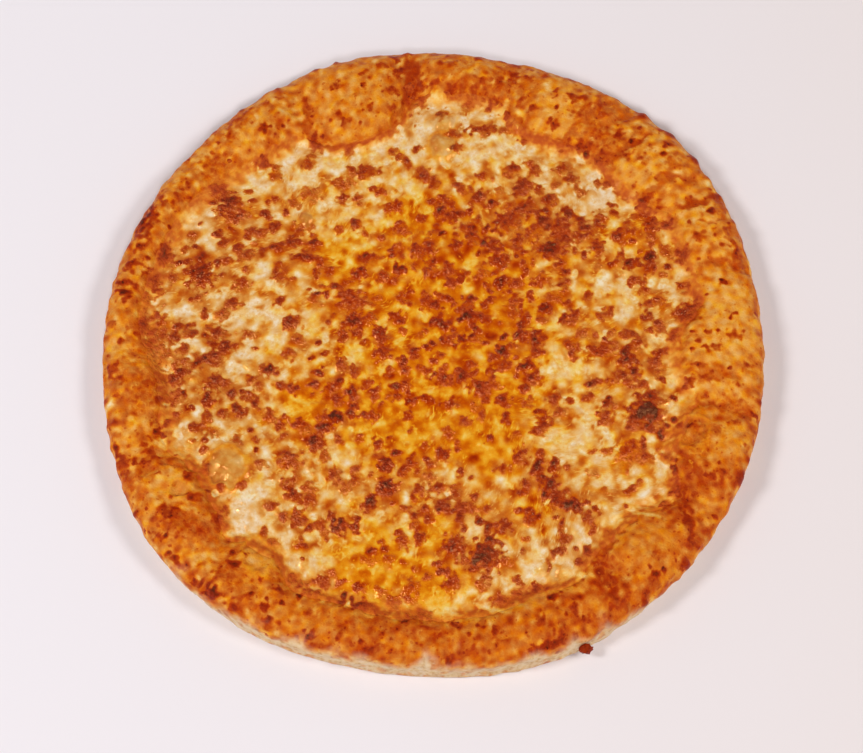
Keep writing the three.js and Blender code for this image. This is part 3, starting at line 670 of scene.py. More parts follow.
wide_thread = swirled(mottle(63, 11, .3), 64, 8, 2.5)
thin_thread = swirled(mottle(65, 6.5, .3), 66, 6, 1.5)
thread = 1.0 - np.abs(wide_thread) / 0.30 - 1.2 * smooth(0.4, -0.9, mottle(67, 18)) - 1.4 * browning
fine_thread = 1.0 - np.abs(thin_thread) / 0.34 - 1.4 * smooth(0.8, -0.4, mottle(68, 12)) - 1.4 * browning
cream = mottle(24, 13, .35) + 0.5 * mottle(25, 6) - 4.5 * browning - 1.6 * (oil - 0.35)
pool = np.maximum(np.maximum(thread, fine_thread) * 0.8 - 0.1, cream - 1.3)
pool -= 2.5 * rim_share + 1.3 * smooth(-6.0, -0.5, beyond + 2.0 * ragged)
# Pools have no darkness of their own, so theirs goes into a map that nothing reads.
spare_depth = np.zeros(MAP_SHAPE)
POOL_GROWTH = 1.08
for x, y, across, along, turn in PALE_POOLS:
    lay(pool, spare_depth, x, y, across * POOL_GROWTH, along * POOL_GROWTH, turn, 0.0, 0.25)
pool = np.clip(pool, -1.0, 1.0)
print("pools cover", (pool[in_plan] > 0).mean().round(3), "of the middle")


# %% Small blisters on a net
NET_REACH = 156.0
spot = np.full(MAP_SHAPE, -1.0)
depth = np.full(MAP_SHAPE, 0.6)


def blister_net(seed, pitch, smallest, largest, weakest, on_rim=False):
    """Round spots on a loose net; in the wide dark regions they are larger and browner."""
    draw = np.random.default_rng(seed)
    for k, row in enumerate(np.arange(-NET_REACH, NET_REACH, pitch * 0.87)):
        for column in np.arange(-NET_REACH + (k % 2) * pitch / 2.0, NET_REACH, pitch):
            x = column + draw.normal() * pitch * 0.24
            y = row + draw.normal() * pitch * 0.24
            radius = draw.uniform(smallest, largest)
            stretch = draw.uniform(0.75, 1.3)
            turn = draw.uniform(0.0, 180.0)
            here = np.array([x]), np.array([y])
            strength = draw.uniform() * 0.95 + 1.7 * look_up(browning, *here)[0]
            strength -= 0.25 * max(look_up(pool, *here)[0], 0.0)
            if strength < weakest or (look_up(rim_share, *here)[0] > 0.5) != on_rim:
                continue
            strength = min(strength, 1.0)
            size = 2.0 * radius * (0.7 + 0.4 * strength)
            dark = 0.49 + 0.22 * strength + draw.uniform(-0.04, 0.18)
            lay(spot, depth, x, y, size * stretch, size / stretch, turn, dark, 0.5 if on_rim else 0.28)


blister_net(61, 9.8, 2.0, 3.7, 0.42)
blister_net(62, 6.0, 1.1, 2.0, 0.80)
blister_net(63, 8.0, 1.0, 2.6, 0.86, True)
blister_net(64, 4.4, 0.6, 1.1, 0.78, True)
print("small spots cover", (spot[in_plan] > 0).mean().round(3), "of the middle")

# %% Toasted patches and the burnt cup
SPOT_GROWTH = 1.12
SHEET_DARKNESS = 0.93
for x, y, across, along, turn, dark in TOASTED:
    lay(spot, depth, x, y, across * SPOT_GROWTH, along * SPOT_GROWTH, turn, dark * SHEET_DARKNESS, 0.26)
# The burnt cup is a black dome with two slightly browner bands laid over it, one after the other.
BURNT_CUP = [(98, -33.5, 11, 11, .98), (98, -31.3, 7.5, 4.0, .90), (98.5, -36.2, 7.5, 3.2, .84)]
for x, y, across, along, dark in BURNT_CUP:
    cup = np.full(MAP_SHAPE, -1.0)
    cup_depth = np.zeros(MAP_SHAPE)
    lay(cup, cup_depth, x, y, across, along, 0.0, dark, 0.1)
    covered = smooth(-0.1, 0.25, cup)
    spot += (np.maximum(cup + 0.5, spot) - spot) * covered
    depth += (dark - depth) * covered
print("spots now cover", (spot[in_plan] > 0).mean().round(3), "of the middle")


# %% Marks on the rim
def at_angle(angle, radius):
    """The place in plan of an angle in degrees and a radius."""
    turn = math.radians(angle)
    return radius * math.cos(turn), radius * math.sin(turn)


RIM_DARKNESS = 0.86
for x, y, across, along, turn, dark in RIM_MARKS:
    lay(spot, depth, x, y, across * SPOT_GROWTH, along * SPOT_GROWTH, turn, dark * RIM_DARKNESS, 0.5)
for angle, radius, around, across, dark in ROUND_MARKS:
    x, y = at_angle(angle, radius)
    lay(spot, depth, x, y, across * SPOT_GROWTH, around * SPOT_GROWTH, angle, dark * RIM_DARKNESS, 0.5)
spot = np.clip(spot, -1.0, 1.0)
depth = soften(depth, 0.5)
print("spots cover", (spot[whole_top] > 0).mean().round(3), "of the whole top")

# %% [markdown]
# ## Bubbles, dents and creases
#
# Here and there a large bubble blew up and sank again. What is left is a thin amber skin inside a golden
# brim, as if a coin had been pressed in. Low swellings and dents make the rim uneven, and creases part its
# lobes. They are true relief, so they are kept as a height in millimetres, besides what they do to colour.

# %% Bubbles and dents
# Each one: x, y, its two widths in mm, its turn, its height in mm (a dent where negative), how far its skin
# is thinned to amber, and how high its brim stands.
DOMES = [
    (-94.5, -60, 18, 19, 0, .4, .8, .9), (-97, -64, 9, 9, 0, -1.0, .95, 0),
    (-115, -72, 10, 9, 0, -1.4, .4, .9), (-79, -103, 14, 19, 10, -1.3, .15, .9),
    (4.5, 117, 14, 10, 0, 1.5, .5, .4), (4, 104.5, 13.5, 13.5, 0, 1.6, .7, .6),
    (53.5, -110, 9, 9, 0, 1.0, .4, .4), (-60, 65, 7, 7, 0, 1.2, 1.0, .1),
    (119, -44, 13, 17, 0, -1.5, .15, .8), (96, -101, 20, 24, 45, 1.0, .1, .4),
    (98, -31.5, 11, 8, 0, 1.6, 0, .2), (98.5, -37.5, 8, 3.5, 0, -.8, 0, .3),
    (-112, -92, 17, 13, -30, 1.6, 0, 0), (-108, -62, 26, 5, 25, 1.0, 0, 0),
    (-96, -118, 16, 12, -40, .9, 0, 0), (133, -18, 24, 26, 0, .8, 0, 0), (128, 12, 22, 22, 0, .6, 0, 0),
    (-44, -126, 22, 11, 8, 1.1, 0, .3), (-8, -136, 22, 10, 0, .9, 0, .2),
    (30, -133, 22, 10, 0, .9, 0, .2), (-72, -117, 16, 11, -30, 1.1, 0, .3),
    (62, -125, 20, 11, 25, .8, 0, .2),
]
dome_height = np.zeros(MAP_SHAPE)
skin_painted_shade = np.zeros(MAP_SHAPE)
skin = np.zeros(MAP_SHAPE)
brim = np.zeros(MAP_SHAPE)
for x, y, across, along, turn, height, thinned_to, brim_height in DOMES:
    angle = math.radians(turn)
    dx, dy = plan_x + 0.7 * wander_x - x, plan_y + 0.7 * wander_y - y
    u = (dx * math.cos(angle) + dy * math.sin(angle)) / (across / 2.0)
    v = (-dx * math.sin(angle) + dy * math.cos(angle)) / (along / 2.0)
    away = np.hypot(u, v)
    edge = np.exp(-((away - 1.05) / 0.17) ** 2)
    dome_height += height * smooth(1.1, 0.25, away) + brim_height * edge
    thin_part = thinned_to * smooth(1.02, 0.76, away)
    skin = np.maximum(skin, thin_part)
    # Painted shade: each bubble's thin skin is drawn darker towards its lower left and lighter towards its
    # upper right, as light falls into its hollow.
    skin_painted_shade += 0.10 * np.clip(-u - v, -1.0, 1.0) * thin_part
    brim = np.maximum(brim, edge * min(brim_height * 1.5, 1.0))
spot -= 1.1 * skin * (depth < 0.8)
pool -= 1.5 * np.maximum(skin, 0.8 * brim)
print(len(DOMES), "bubbles and dents")

# %% Creases
crease = np.full(MAP_SHAPE, -1.0)
crease_browning_and_shade = np.full(MAP_SHAPE, 0.6)
for start_angle, start_radius, end_angle, end_radius, width, dark in CREASES:
    x, y = at_angle(start_angle, start_radius)
    end_x, end_y = at_angle(end_angle, end_radius)
    length = math.hypot(end_x - x, end_y - y)
    area = window((x + end_x) / 2.0, (y + end_y) / 2.0, length / 2.0 + 3.0 * width + 3.0)
    dx, dy = plan_x[area] + 1.1 * wander_x[area] - x, plan_y[area] + 1.1 * wander_y[area] - y
    share = np.clip((dx * (end_x - x) + dy * (end_y - y)) / length ** 2, 0.0, 1.0)
    away = np.hypot(dx - share * (end_x - x), dy - share * (end_y - y))
    level = np.maximum(1.0 - away / (0.85 * width), -1.0)
    nearest = level > crease[area]
    crease[area] = np.where(nearest, level, crease[area])
    crease_browning_and_shade[area] = np.where(nearest, dark, crease_browning_and_shade[area])
print("creases cover", (crease > 0).mean().round(3), "of the map")

# %% [markdown]
# ## The ground between the spots
#
# What isn't spot or pool still varies: the sheet by its fat and its heat, the rim from golden lobes to
# orange hollows. It is one number, from cream at 0 to black at 1. Creases, thin skins, brims and the seam
# between cheese and rim then pull it their own way, and some of that pull is painted shade and light:
# darker creases, darker lower left sides of thin skins, a darker line along the seam, a lighter seam and a
# browner rim at the front.

# %% Ground of the sheet and of the rim
fine = mottle(4, 4.2)
medium = mottle(105, 7)
cheese_ground = (0.34 + 0.08 * (oil - .4) + 0.75 * browning + 0.11 * mottle(5, 8.5) + 0.085 * mottle(6, 16)
                 + 0.02 * fine)
rim_ground = 0.485 + 0.08 * medium + 0.05 * mottle(107, 14) + 0.04 * fine
for angle, radius, around, across, gold in GOLDEN:
    x, y = at_angle(angle, radius)
    dx, dy = plan_x - x, plan_y - y
    turn = math.radians(angle)
    u = (dx * math.cos(turn) + dy * math.sin(turn)) / (across / 2.0)
    v = (-dx * math.sin(turn) + dy * math.cos(turn)) / (around / 2.0)
    cover = 0.85 * (1.0 - smooth(0.55, 1.25, np.hypot(u, v) + 0.12 * ragged))
    lobe_tone = np.maximum(gold - 0.01 + 0.045 * medium + 0.025 * fine, 0.28)
    rim_ground = rim_ground * (1.0 - cover) + lobe_tone * cover
ground_map = cheese_ground * (1.0 - rim_share) + rim_ground * rim_share
rim_mean = rim_ground[plan_radius > 130].mean()
print("ground of the sheet", cheese_ground[in_plan].mean().round(3), "and of the rim", rim_mean.round(3))

# %% Ground in creases, skins, brims and the seam
# Partly painted shade: the creases pull the ground darker, besides the real browning of sauce and fat there.
in_crease = 0.9 * smooth(-0.25, 0.55, crease + 0.12 * ragged)
ground_map = ground_map * (1.0 - in_crease) + np.maximum(ground_map, crease_browning_and_shade) * in_crease
ground_map += (0.42 + skin_painted_shade + 0.03 * fine - ground_map) * 0.8 * skin
ground_map += (0.35 - ground_map) * 0.85 * brim
at_seam = smooth(-6.0, -1.0, beyond + 2.0 * ragged) * smooth(6.0, 1.0, beyond)
front_seam = smooth(-0.2, 0.7, -plan_y / np.maximum(plan_radius, 1.0))
# The seam's tone is orange fat all round, and painted light at the front: there it is drawn lighter, where
# the rim's inner slope lies in shade.
seam_tone_and_painted_light = 0.45 - 0.10 * front_seam + 0.05 * fine
ground_map += (np.maximum(ground_map, seam_tone_and_painted_light) - ground_map) * 0.6 * at_seam
# A red-brown line along the seam: partly fat gathered where the cheese dives under the rim, and partly
# painted shade in that groove.
seam_line_fat_and_shade = np.exp(-((beyond - 0.6 + 1.8 * ragged) / 1.9) ** 2) * smooth(-0.3, 0.9, mottle(151, 11))
ground_map += (np.maximum(ground_map, 0.64 + 0.04 * fine) - ground_map) * 0.85 * seam_line_fat_and_shade * (1.0 - skin)
# Painted shade: beyond the seam the front of the rim is drawn browner, to hold back the extra light that it
# gets from the front lamp.
ground_map += 0.11 * front_seam * smooth(3.0, 8.0, beyond) * smooth(-0.2, 0.3, plan_x / 150.0 + 0.45)
print("ground from", ground_map[whole_top].min().round(2), "to", ground_map[whole_top].max().round(2))

# %% Fat, dryness and the whole chart
oil_map = oil * (1.0 - rim_share) + (0.60 + 0.20 * mottle(43, 7) + 0.12 * mottle(44, 3.5)) * rim_share
oil_map += (0.85 - oil_map) * 0.6 * at_seam
oil_map += (0.95 - oil_map) * 0.85 * brim
oil_map = np.clip(oil_map, 0.0, 1.0)
dry = smooth(-8.0, -1.0, beyond + 2.0 * ragged)
chart = {"ground": ground_map, "spot": spot, "depth": depth, "pool": pool, "oil": oil_map, "skin": skin,
         "dry": dry}
print("the chart holds", ", ".join(chart))

# %% [markdown]
# ## Turning the maps into meshes
#
# Every layer becomes a closed mesh whose faces point outwards. A helper takes the points and faces, turns
# the faces round if the volume comes out negative, stores the browning values at the points, attaches
# the piece to the body it rides on and hides the CAD solid that it stands for.

# %% Mesh helper
def volume_of(points, faces):
    """The signed volume; it is below 0 where the faces point inwards."""
    total = 0.0
    for size in (3, 4):
        block = np.array([f for f in faces if len(f) == size], dtype=int)
        if len(block) == 0:
            continue
        for k in range(1, size - 1):
            a, b, c = points[block[:, 0]], points[block[:, k]], points[block[:, k + 1]]
            total += np.einsum("ij,ij->i", a, np.cross(b, c)).sum() / 6.0
    return total


def make_piece(name, points, faces, values, material, stands_for=None):
    """Points are in millimetres; values is a dictionary of arrays, one number for each point."""
    volume = volume_of(points, faces)
    if volume < 0.0:
        faces = [face[::-1] for face in faces]
    mesh = bpy.data.meshes.new(name)
    mesh.from_pydata((points * MM).tolist(), [], faces)
    mesh.update()
    mesh.shade_smooth()
    for label, numbers in values.items():
        layer = mesh.attributes.new(label, "FLOAT", "POINT")
        layer.data.foreach_set("value", np.asarray(numbers, dtype=np.float32))
    mesh.materials.append(material)
    item = bpy.data.objects.new(name, mesh)
    bpy.context.scene.collection.objects.link(item)
    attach(item, "root")
    if stands_for:
        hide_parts(stands_for)
    triangles = sum(len(face) - 2 for face in faces)
    print(name, "has", triangles, "triangles and", round(abs(volume) / 1000.0, 1), "cubic cm")
    return item


# %% [markdown]
# ## Finishes that the layers share
#
# Toasting does the same to cheese and dough: it runs from cream through gold and orange to red-brown and
# near black. One node group holds that scale twice, milky and oily, and mixes the two by how much fat is
# there. A second turns the maps' levels into crisp spots and pools and says how toasted each place is.

# %% Toasting group
def new_group(name, inputs, outputs):
    group = bpy.data.node_groups.new(name, "ShaderNodeTree")
    for label, kind, value in inputs:
        socket = group.interface.new_socket(label, in_out="INPUT", socket_type=kind)
        socket.default_value = value
    for label, kind in outputs:
        group.interface.new_socket(label, in_out="OUTPUT", socket_type=kind)
    return group, add_node(group, "NodeGroupInput"), add_node(group, "NodeGroupOutput")


MILKY_SCALE = [(0.0, (246, 230, 202)), (0.12, (240, 209, 165)), (0.27, (230, 180, 112)),
               (0.40, (218, 149, 70)), (0.53, (201, 116, 42)), (0.65, (184, 87, 24)),
               (0.76, (168, 60, 12)), (0.87, (142, 38, 8)), (1.0, (84, 22, 8))]
OILY_SCALE = [(0.0, (247, 220, 146)), (0.12, (243, 199, 90)), (0.27, (239, 168, 38)), (0.40, (228, 138, 14)),
              (0.53, (211, 105, 4)), (0.65, (192, 76, 2)), (0.76, (174, 52, 2)), (0.87, (147, 33, 3)),
              (1.0, (86, 20, 5))]
SKIN_SCALE = [(0.0, (226, 182, 104)), (0.3, (214, 150, 66)), (0.5, (196, 114, 38)), (0.7, (154, 74, 24)),
              (1.0, (60, 30, 20))]
toasting, inlet, outlet = new_group(
    "Toasting",
    [("Toast", "NodeSocketFloat", 0.4), ("Oil", "NodeSocketFloat", 0.4), ("Skin", "NodeSocketFloat", 0.0)],
    [("Colour", "NodeSocketColor")])
milky = colour_steps(toasting, inlet.outputs["Toast"], MILKY_SCALE)
oily = colour_steps(toasting, inlet.outputs["Toast"], OILY_SCALE)
blend = add_node(toasting, "ShaderNodeMix", data_type="RGBA")
join(toasting, inlet.outputs["Oil"], blend.inputs["Factor"])
join(toasting, milky, blend.inputs["A"])
join(toasting, oily, blend.inputs["B"])
thinned = add_node(toasting, "ShaderNodeMix", data_type="RGBA")
join(toasting, inlet.outputs["Skin"], thinned.inputs["Factor"])
join(toasting, blend.outputs["Result"], thinned.inputs["A"])
join(toasting, colour_steps(toasting, inlet.outputs["Toast"], SKIN_SCALE), thinned.inputs["B"])
join(toasting, thinned.outputs["Result"], outlet.inputs["Colour"])
print(toasting.name, "has", len(toasting.nodes), "nodes")

# %% Helpers for masks
def cut(tree, value, low, high):
    """Turns a level into a soft-edged mask."""
    item = add_node(tree, "ShaderNodeMapRange", {"From Min": low, "From Max": high},
                    interpolation_type="SMOOTHSTEP")
    join(tree, value, item.inputs["Value"])
    return item.outputs["Result"]


def mixed(tree, first, second, share):
    """Goes from the first value to the second by a share; each may be a plain number."""
    item = add_node(tree, "ShaderNodeMix", data_type="FLOAT")
    for slot, term in (("Factor", share), ("A", first), ("B", second)):
        if isinstance(term, (int, float)):
            item.inputs[slot].default_value = term
        else:
            join(tree, term, item.inputs[slot])
    return item.outputs["Result"]


def weighed(tree, value, grain_height, weight):
    """The value with some of a grain's height added to it."""
    return sums(tree, "ADD", value, sums(tree, "MULTIPLY", grain_height, weight))


print("mask helpers ready")

# %% Browning group
browned, inlet, outlet = new_group(
    "Browning",
    [("Ground", "NodeSocketFloat", 0.4), ("Spot", "NodeSocketFloat", -1.0),
     ("Depth", "NodeSocketFloat", 0.7), ("Pool", "NodeSocketFloat", -1.0),
     ("Ragged", "NodeSocketFloat", 0.0)],
    [("Toast", "NodeSocketFloat"), ("In spot", "NodeSocketFloat")])
rough = inlet.outputs["Ragged"]
spot_level = weighed(browned, inlet.outputs["Spot"], rough, 0.7)
halo = sums(browned, "MULTIPLY", cut(browned, spot_level, -0.95, 0.05), 0.52)
warm = sums(browned, "MAXIMUM", inlet.outputs["Ground"], mixed(browned, inlet.outputs["Ground"], 0.60, halo))
in_pool = cut(browned, weighed(browned, inlet.outputs["Pool"], rough, 1.2), -0.4, 0.75)
pale = sums(browned, "MAXIMUM", weighed(browned, 0.12, rough, 0.7), 0.0)
paled = mixed(browned, warm, pale, sums(browned, "MULTIPLY", in_pool, 0.88))
in_spot = cut(browned, spot_level, -0.28, 0.38)
spot_colour = weighed(browned, inlet.outputs["Depth"], rough, 0.3)
spotted = mixed(browned, paled, spot_colour, sums(browned, "MULTIPLY", in_spot, 0.94))
core = sums(browned, "MULTIPLY", cut(browned, spot_level, 0.35, 0.95), 0.11)
join(browned, sums(browned, "ADD", spotted, core), outlet.inputs["Toast"])
join(browned, in_spot, outlet.inputs["In spot"])
print(browned.name, "has", len(browned.nodes), "nodes")

# %% [markdown]
# ## Grain and bubbles for fine relief
#
# Smooth mesh reads as plastic, so every layer needs grain. One group gives plain noise whose size is set in
# millimetres. The other gives small round domes on a warped net: on the cheese all of them show, as melted
# shreds, and on the crust only a few of them do, as the pores of dough.

# %% Grain group
grain, inlet, outlet = new_group(
    "Grain",
    [("Size mm", "NodeSocketFloat", 1.0), ("Detail", "NodeSocketFloat", 2.0)],
    [("Height", "NodeSocketFloat")])
place = add_node(grain, "ShaderNodeTexCoord")
rough_noise = add_node(grain, "ShaderNodeTexNoise")
join(grain, place.outputs["Object"], rough_noise.inputs["Vector"])
join(grain, sums(grain, "DIVIDE", 1000.0, inlet.outputs["Size mm"]), rough_noise.inputs["Scale"])
join(grain, inlet.outputs["Detail"], rough_noise.inputs["Detail"])
join(grain, sums(grain, "SUBTRACT", rough_noise.outputs["Fac"], 0.5), outlet.inputs["Height"])
print(grain.name, "has", len(grain.nodes), "nodes")

# %% Bubbling group
bubbling, inlet, outlet = new_group(
    "Bubbling",
    [("Size mm", "NodeSocketFloat", 3.0), ("Warp mm", "NodeSocketFloat", 0.8)],
    [("Dome", "NodeSocketFloat"), ("Chance", "NodeSocketFloat")])
place = add_node(bubbling, "ShaderNodeTexCoord")
cells_per_metre = sums(bubbling, "DIVIDE", 1000.0, inlet.outputs["Size mm"])
pull = add_node(bubbling, "ShaderNodeTexNoise", {"Detail": 1.0})
join(bubbling, place.outputs["Object"], pull.inputs["Vector"])
join(bubbling, sums(bubbling, "MULTIPLY", cells_per_metre, 1.1), pull.inputs["Scale"])
centred = add_node(bubbling, "ShaderNodeVectorMath", operation="SUBTRACT")
centred.inputs[1].default_value = (0.5, 0.5, 0.5)
join(bubbling, pull.outputs["Color"], centred.inputs[0])
reach = add_node(bubbling, "ShaderNodeVectorMath", operation="SCALE")
join(bubbling, centred.outputs["Vector"], reach.inputs["Vector"])
join(bubbling, sums(bubbling, "MULTIPLY", inlet.outputs["Warp mm"], 2.0 * MM), reach.inputs["Scale"])
warped = add_node(bubbling, "ShaderNodeVectorMath", operation="ADD")
join(bubbling, place.outputs["Object"], warped.inputs[0])
join(bubbling, reach.outputs["Vector"], warped.inputs[1])
cells = add_node(bubbling, "ShaderNodeTexVoronoi", {"Randomness": 1.0})
join(bubbling, warped.outputs["Vector"], cells.inputs["Vector"])
join(bubbling, cells_per_metre, cells.inputs["Scale"])
dome = cut(bubbling, cells.outputs["Distance"], 0.62, 0.12)
join(bubbling, dome, outlet.inputs["Dome"])
split = add_node(bubbling, "ShaderNodeSeparateColor")
join(bubbling, cells.outputs["Color"], split.inputs["Color"])
join(bubbling, split.outputs["Red"], outlet.inputs["Chance"])
print(bubbling.name, "has", len(bubbling.nodes), "nodes")


# %% Placing a group and bending the light
def place_group(tree, group, inputs=None):
    item = add_node(tree, "ShaderNodeGroup")
    item.node_tree = group
    for name, value in (inputs or {}).items():
        item.inputs[name].default_value = value
    return item


def bumped(tree, shader, height, depth_mm):
    """Fine relief: height times depth is what the light sees."""
    bump = add_node(tree, "ShaderNodeBump", {"Strength": 1.0, "Distance": depth_mm * MM})
    join(tree, height, bump.inputs["Height"])
    join(tree, bump.outputs["Normal"], shader.inputs["Normal"])


def browned_here(tree, ground, ragged_height):
    """The Browning group, fed with the surface's own spots, depth and pools."""
    item = place_group(tree, browned)
    join(tree, ground, item.inputs["Ground"])
    join(tree, ragged_height, item.inputs["Ragged"])
    for label in ("Spot", "Depth", "Pool"):
        join(tree, surface_value(tree, label.lower()), item.inputs[label])
    return item


def toasted_colour(tree, toast):
    """The colour of a toast value, with the surface's own oil and thin skins."""
    item = place_group(tree, toasting)
    join(tree, toast, item.inputs["Toast"])
    for label in ("Oil", "Skin"):
        join(tree, surface_value(tree, label.lower()), item.inputs[label])
    return item.outputs["Colour"]


print("four finish groups are ready to place")

# %% [markdown]
# ## The cheese
#
# The cheese is a sheet with a relief of about a millimetre: blisters stand up, threads too, and the pale
# pools lie low and flat. A square grid wrapped onto the round keeps its cells nearly equal, where rings
# and spokes would crowd in the middle. Its edge is tucked into the rim, so the seam between the two is
# where the surfaces meet, as uneven as the relief of both.

# %% Cheese finish
def ranged(tree, value, low, high, start, end):
    """Maps a value from one range to another and stops at its ends."""
    item = add_node(tree, "ShaderNodeMapRange",
                    {"From Min": low, "From Max": high, "To Min": start, "To Max": end})
    join(tree, value, item.inputs["Value"])
    return item.outputs["Result"]


cheese_finish, tree, shader = new_material("melted cheese")
shreds = place_group(tree, bubbling, {"Size mm": 2.6, "Warp mm": 1.0})
ragged_grain = place_group(tree, grain, {"Size mm": 1.9, "Detail": 2.0})
tiny_grain = place_group(tree, grain, {"Size mm": 0.9, "Detail": 1.0})
shred_part = sums(tree, "MULTIPLY", sums(tree, "SUBTRACT", shreds.outputs["Dome"], 0.4), -0.09)
ground = weighed(tree, sums(tree, "ADD", surface_value(tree, "ground"), shred_part),
                 ragged_grain.outputs["Height"], 0.13)
browning_here = browned_here(tree, ground, ragged_grain.outputs["Height"])
toast_here = weighed(tree, browning_here.outputs["Toast"], tiny_grain.outputs["Height"], 0.05)
join(tree, toasted_colour(tree, toast_here), shader.inputs["Base Color"])
join(tree, ranged(tree, surface_value(tree, "dry"), 0.0, 1.0, 0.12, 0.62), shader.inputs["Roughness"])
shader.inputs["Specular IOR Level"].default_value = 0.9
shader.inputs["Specular Tint"].default_value = tint(255, 184, 120)
in_blister = ranged(tree, browning_here.outputs["In spot"], 0.0, 1.0, 0.38, 1.6)
bumps = sums(tree, "ADD", sums(tree, "MULTIPLY", shreds.outputs["Dome"], 0.20),
             sums(tree, "MULTIPLY", ragged_grain.outputs["Height"], 0.40))
bumps = weighed(tree, bumps, tiny_grain.outputs["Height"], 0.30)
bumped(tree, shader, sums(tree, "MULTIPLY", bumps, in_blister), 1.0)
print(cheese_finish.name, "has", len(tree.nodes), "nodes")

# %% [markdown]
# ## The cheese's mesh
#
# The sheet's height is the solid's top with the maps' relief on it. It doesn't stop at a line: melted cheese
# creeps up the dough, so the two heights are blended where they come close, and the sheet's edge then dives
# under the rim's surface. A side wall and a bottom close it to one solid.

# %% Relief of the sheet and of the rim
chart_relief = (0.25 * smooth(-0.2, 0.8, spot) - 0.8 * smooth(-0.5, 0.9, crease) + 0.22 * mottle(132, 11, .4)
                + 0.08 * mottle(131, 5.0, .35) + 0.03 * fine + dome_height)
cheese_relief = (0.7 * smooth(-0.4, 1.0, spot) * (0.4 + 0.7 * depth) - 0.35 * smooth(-0.4, 0.8, pool)
                 - 0.5 * smooth(-0.6, 0.7, crease) + 0.12 * fine + 0.15 * ragged)
cheese_relief = soften(cheese_relief, 0.5) + dome_height + 0.35 * frayed * smooth(-7.0, -1.0, beyond)
low, high = np.percentile(cheese_relief[in_plan], [1, 99]).round(2)
print("the sheet's relief is", low, "to", high, "mm")

# %% Height of the rim in plan
turn_place = plan_turn / (2.0 * np.pi) * SECTIONS
low_turn = turn_place.astype(int) % SECTIONS
next_turn = (low_turn + 1) % SECTIONS
turn_share = turn_place - np.floor(turn_place)
out_place = np.clip((plan_radius - HIDDEN_RADIUS) / 1.0, 0.0, len(radii) - 1.001)
low_out = out_place.astype(int)
out_share = out_place - low_out
near_line = slope[low_turn, low_out] * (1.0 - out_share) + slope[low_turn, low_out + 1] * out_share
next_line = slope[next_turn, low_out] * (1.0 - out_share) + slope[next_turn, low_out + 1] * out_share
rim_height = soften(near_line * (1.0 - turn_share) + next_line * turn_share, 0.8)
rim_height += chart_relief * smooth(1.0, 5.0, beyond)
print("rim in plan up to", rim_height[whole_top].max().round(1), "mm high")

# %% Where the sheet melts onto the rim
MELT_REACH = 9.0
MELT_SUNK = 0.5
cheese_height = cheese_top + cheese_relief
closeness = np.clip(1.0 - np.abs(cheese_height - rim_height) / MELT_REACH, 0.0, 1.0)
melted = np.maximum(cheese_height, rim_height) + closeness ** 2 * MELT_REACH / 4.0 - MELT_SUNK
in_reach = smooth(-16.0, -7.0, beyond)
cheese_height = cheese_height * (1.0 - in_reach) + melted * in_reach
print("the melt lifts the sheet in", (in_reach[in_plan] > 0.5).mean().round(3), "of the middle")

# %% The sheet's grid
CHEESE_GRID = 298
CHEESE_TUCK = 9.0
CHEESE_BOTTOM = 8.2


def foot_at(angle):
    """How far out the rim's foot lies in a direction."""
    turn = np.mod(angle, 2.0 * np.pi)
    around = np.append(section_angles, 2.0 * np.pi)
    return np.interp(turn, around, np.append(foot, foot[0]))


steps = np.linspace(-1.0, 1.0, CHEESE_GRID + 1)
a, b = np.meshgrid(steps, steps)
flat = np.abs(a) > np.abs(b)
ratio = np.where(flat, b / np.where(a == 0, 1.0, a), a / np.where(b == 0, 1.0, b))
reach = np.where(flat, a, b)
angle = np.where(flat, ratio * np.pi / 4.0, np.pi / 2.0 - ratio * np.pi / 4.0)
turn = np.arctan2(reach * np.sin(angle), reach * np.cos(angle))
radius = np.abs(reach) * (foot_at(turn) + CHEESE_TUCK)
x, y = radius * np.cos(turn), radius * np.sin(turn)
inside = foot_at(turn) + CHEESE_TUCK - radius
z = look_up(cheese_height, x, y)
under_rim = np.minimum(z, look_up(rim_height, x, y) - 1.6)
z += (under_rim - z) * (1.0 - smooth(0.0, 6.0, inside))
top = np.stack([x, y, z], -1).reshape(-1, 3)
print(len(top), "points in the sheet")

# %% The closed cheese piece
side = CHEESE_GRID + 1
ids = np.arange(side * side).reshape(side, side)
quads = np.stack([ids[:-1, :-1], ids[:-1, 1:], ids[1:, 1:], ids[1:, :-1]], -1).reshape(-1, 4)
rim_loop = np.concatenate([ids[0, :-1], ids[:-1, -1], ids[-1, :0:-1], ids[:0:-1, 0]])
below = top[rim_loop].copy()
below[:, 2] = CHEESE_BOTTOM
middle = np.array([[0.0, 0.0, CHEESE_BOTTOM]])
cheese_points = np.concatenate([top, below, middle])
first_below = len(top)
last = len(cheese_points) - 1
count = len(rim_loop)
faces = quads.tolist()
for k in range(count):
    n = (k + 1) % count
    faces.append([int(rim_loop[n]), int(rim_loop[k]), first_below + k, first_below + n])
    faces.append([first_below + n, first_below + k, last])
values = {key: look_up(field, cheese_points[:, 0], cheese_points[:, 1]) for key, field in chart.items()}
make_piece("melted_cheese", cheese_points, faces, values, cheese_finish, "cheese")

# %% [markdown]
# ## The rim
#
# The rim is one ring of rounded dough with lobes, dents and creases. Its section comes from the solid: the
# inner slope from the rays straight down, the outer side from rays fanned out from inside. The sections
# are put on an even spacing and smoothed along and across, which takes the facets out and keeps the form.

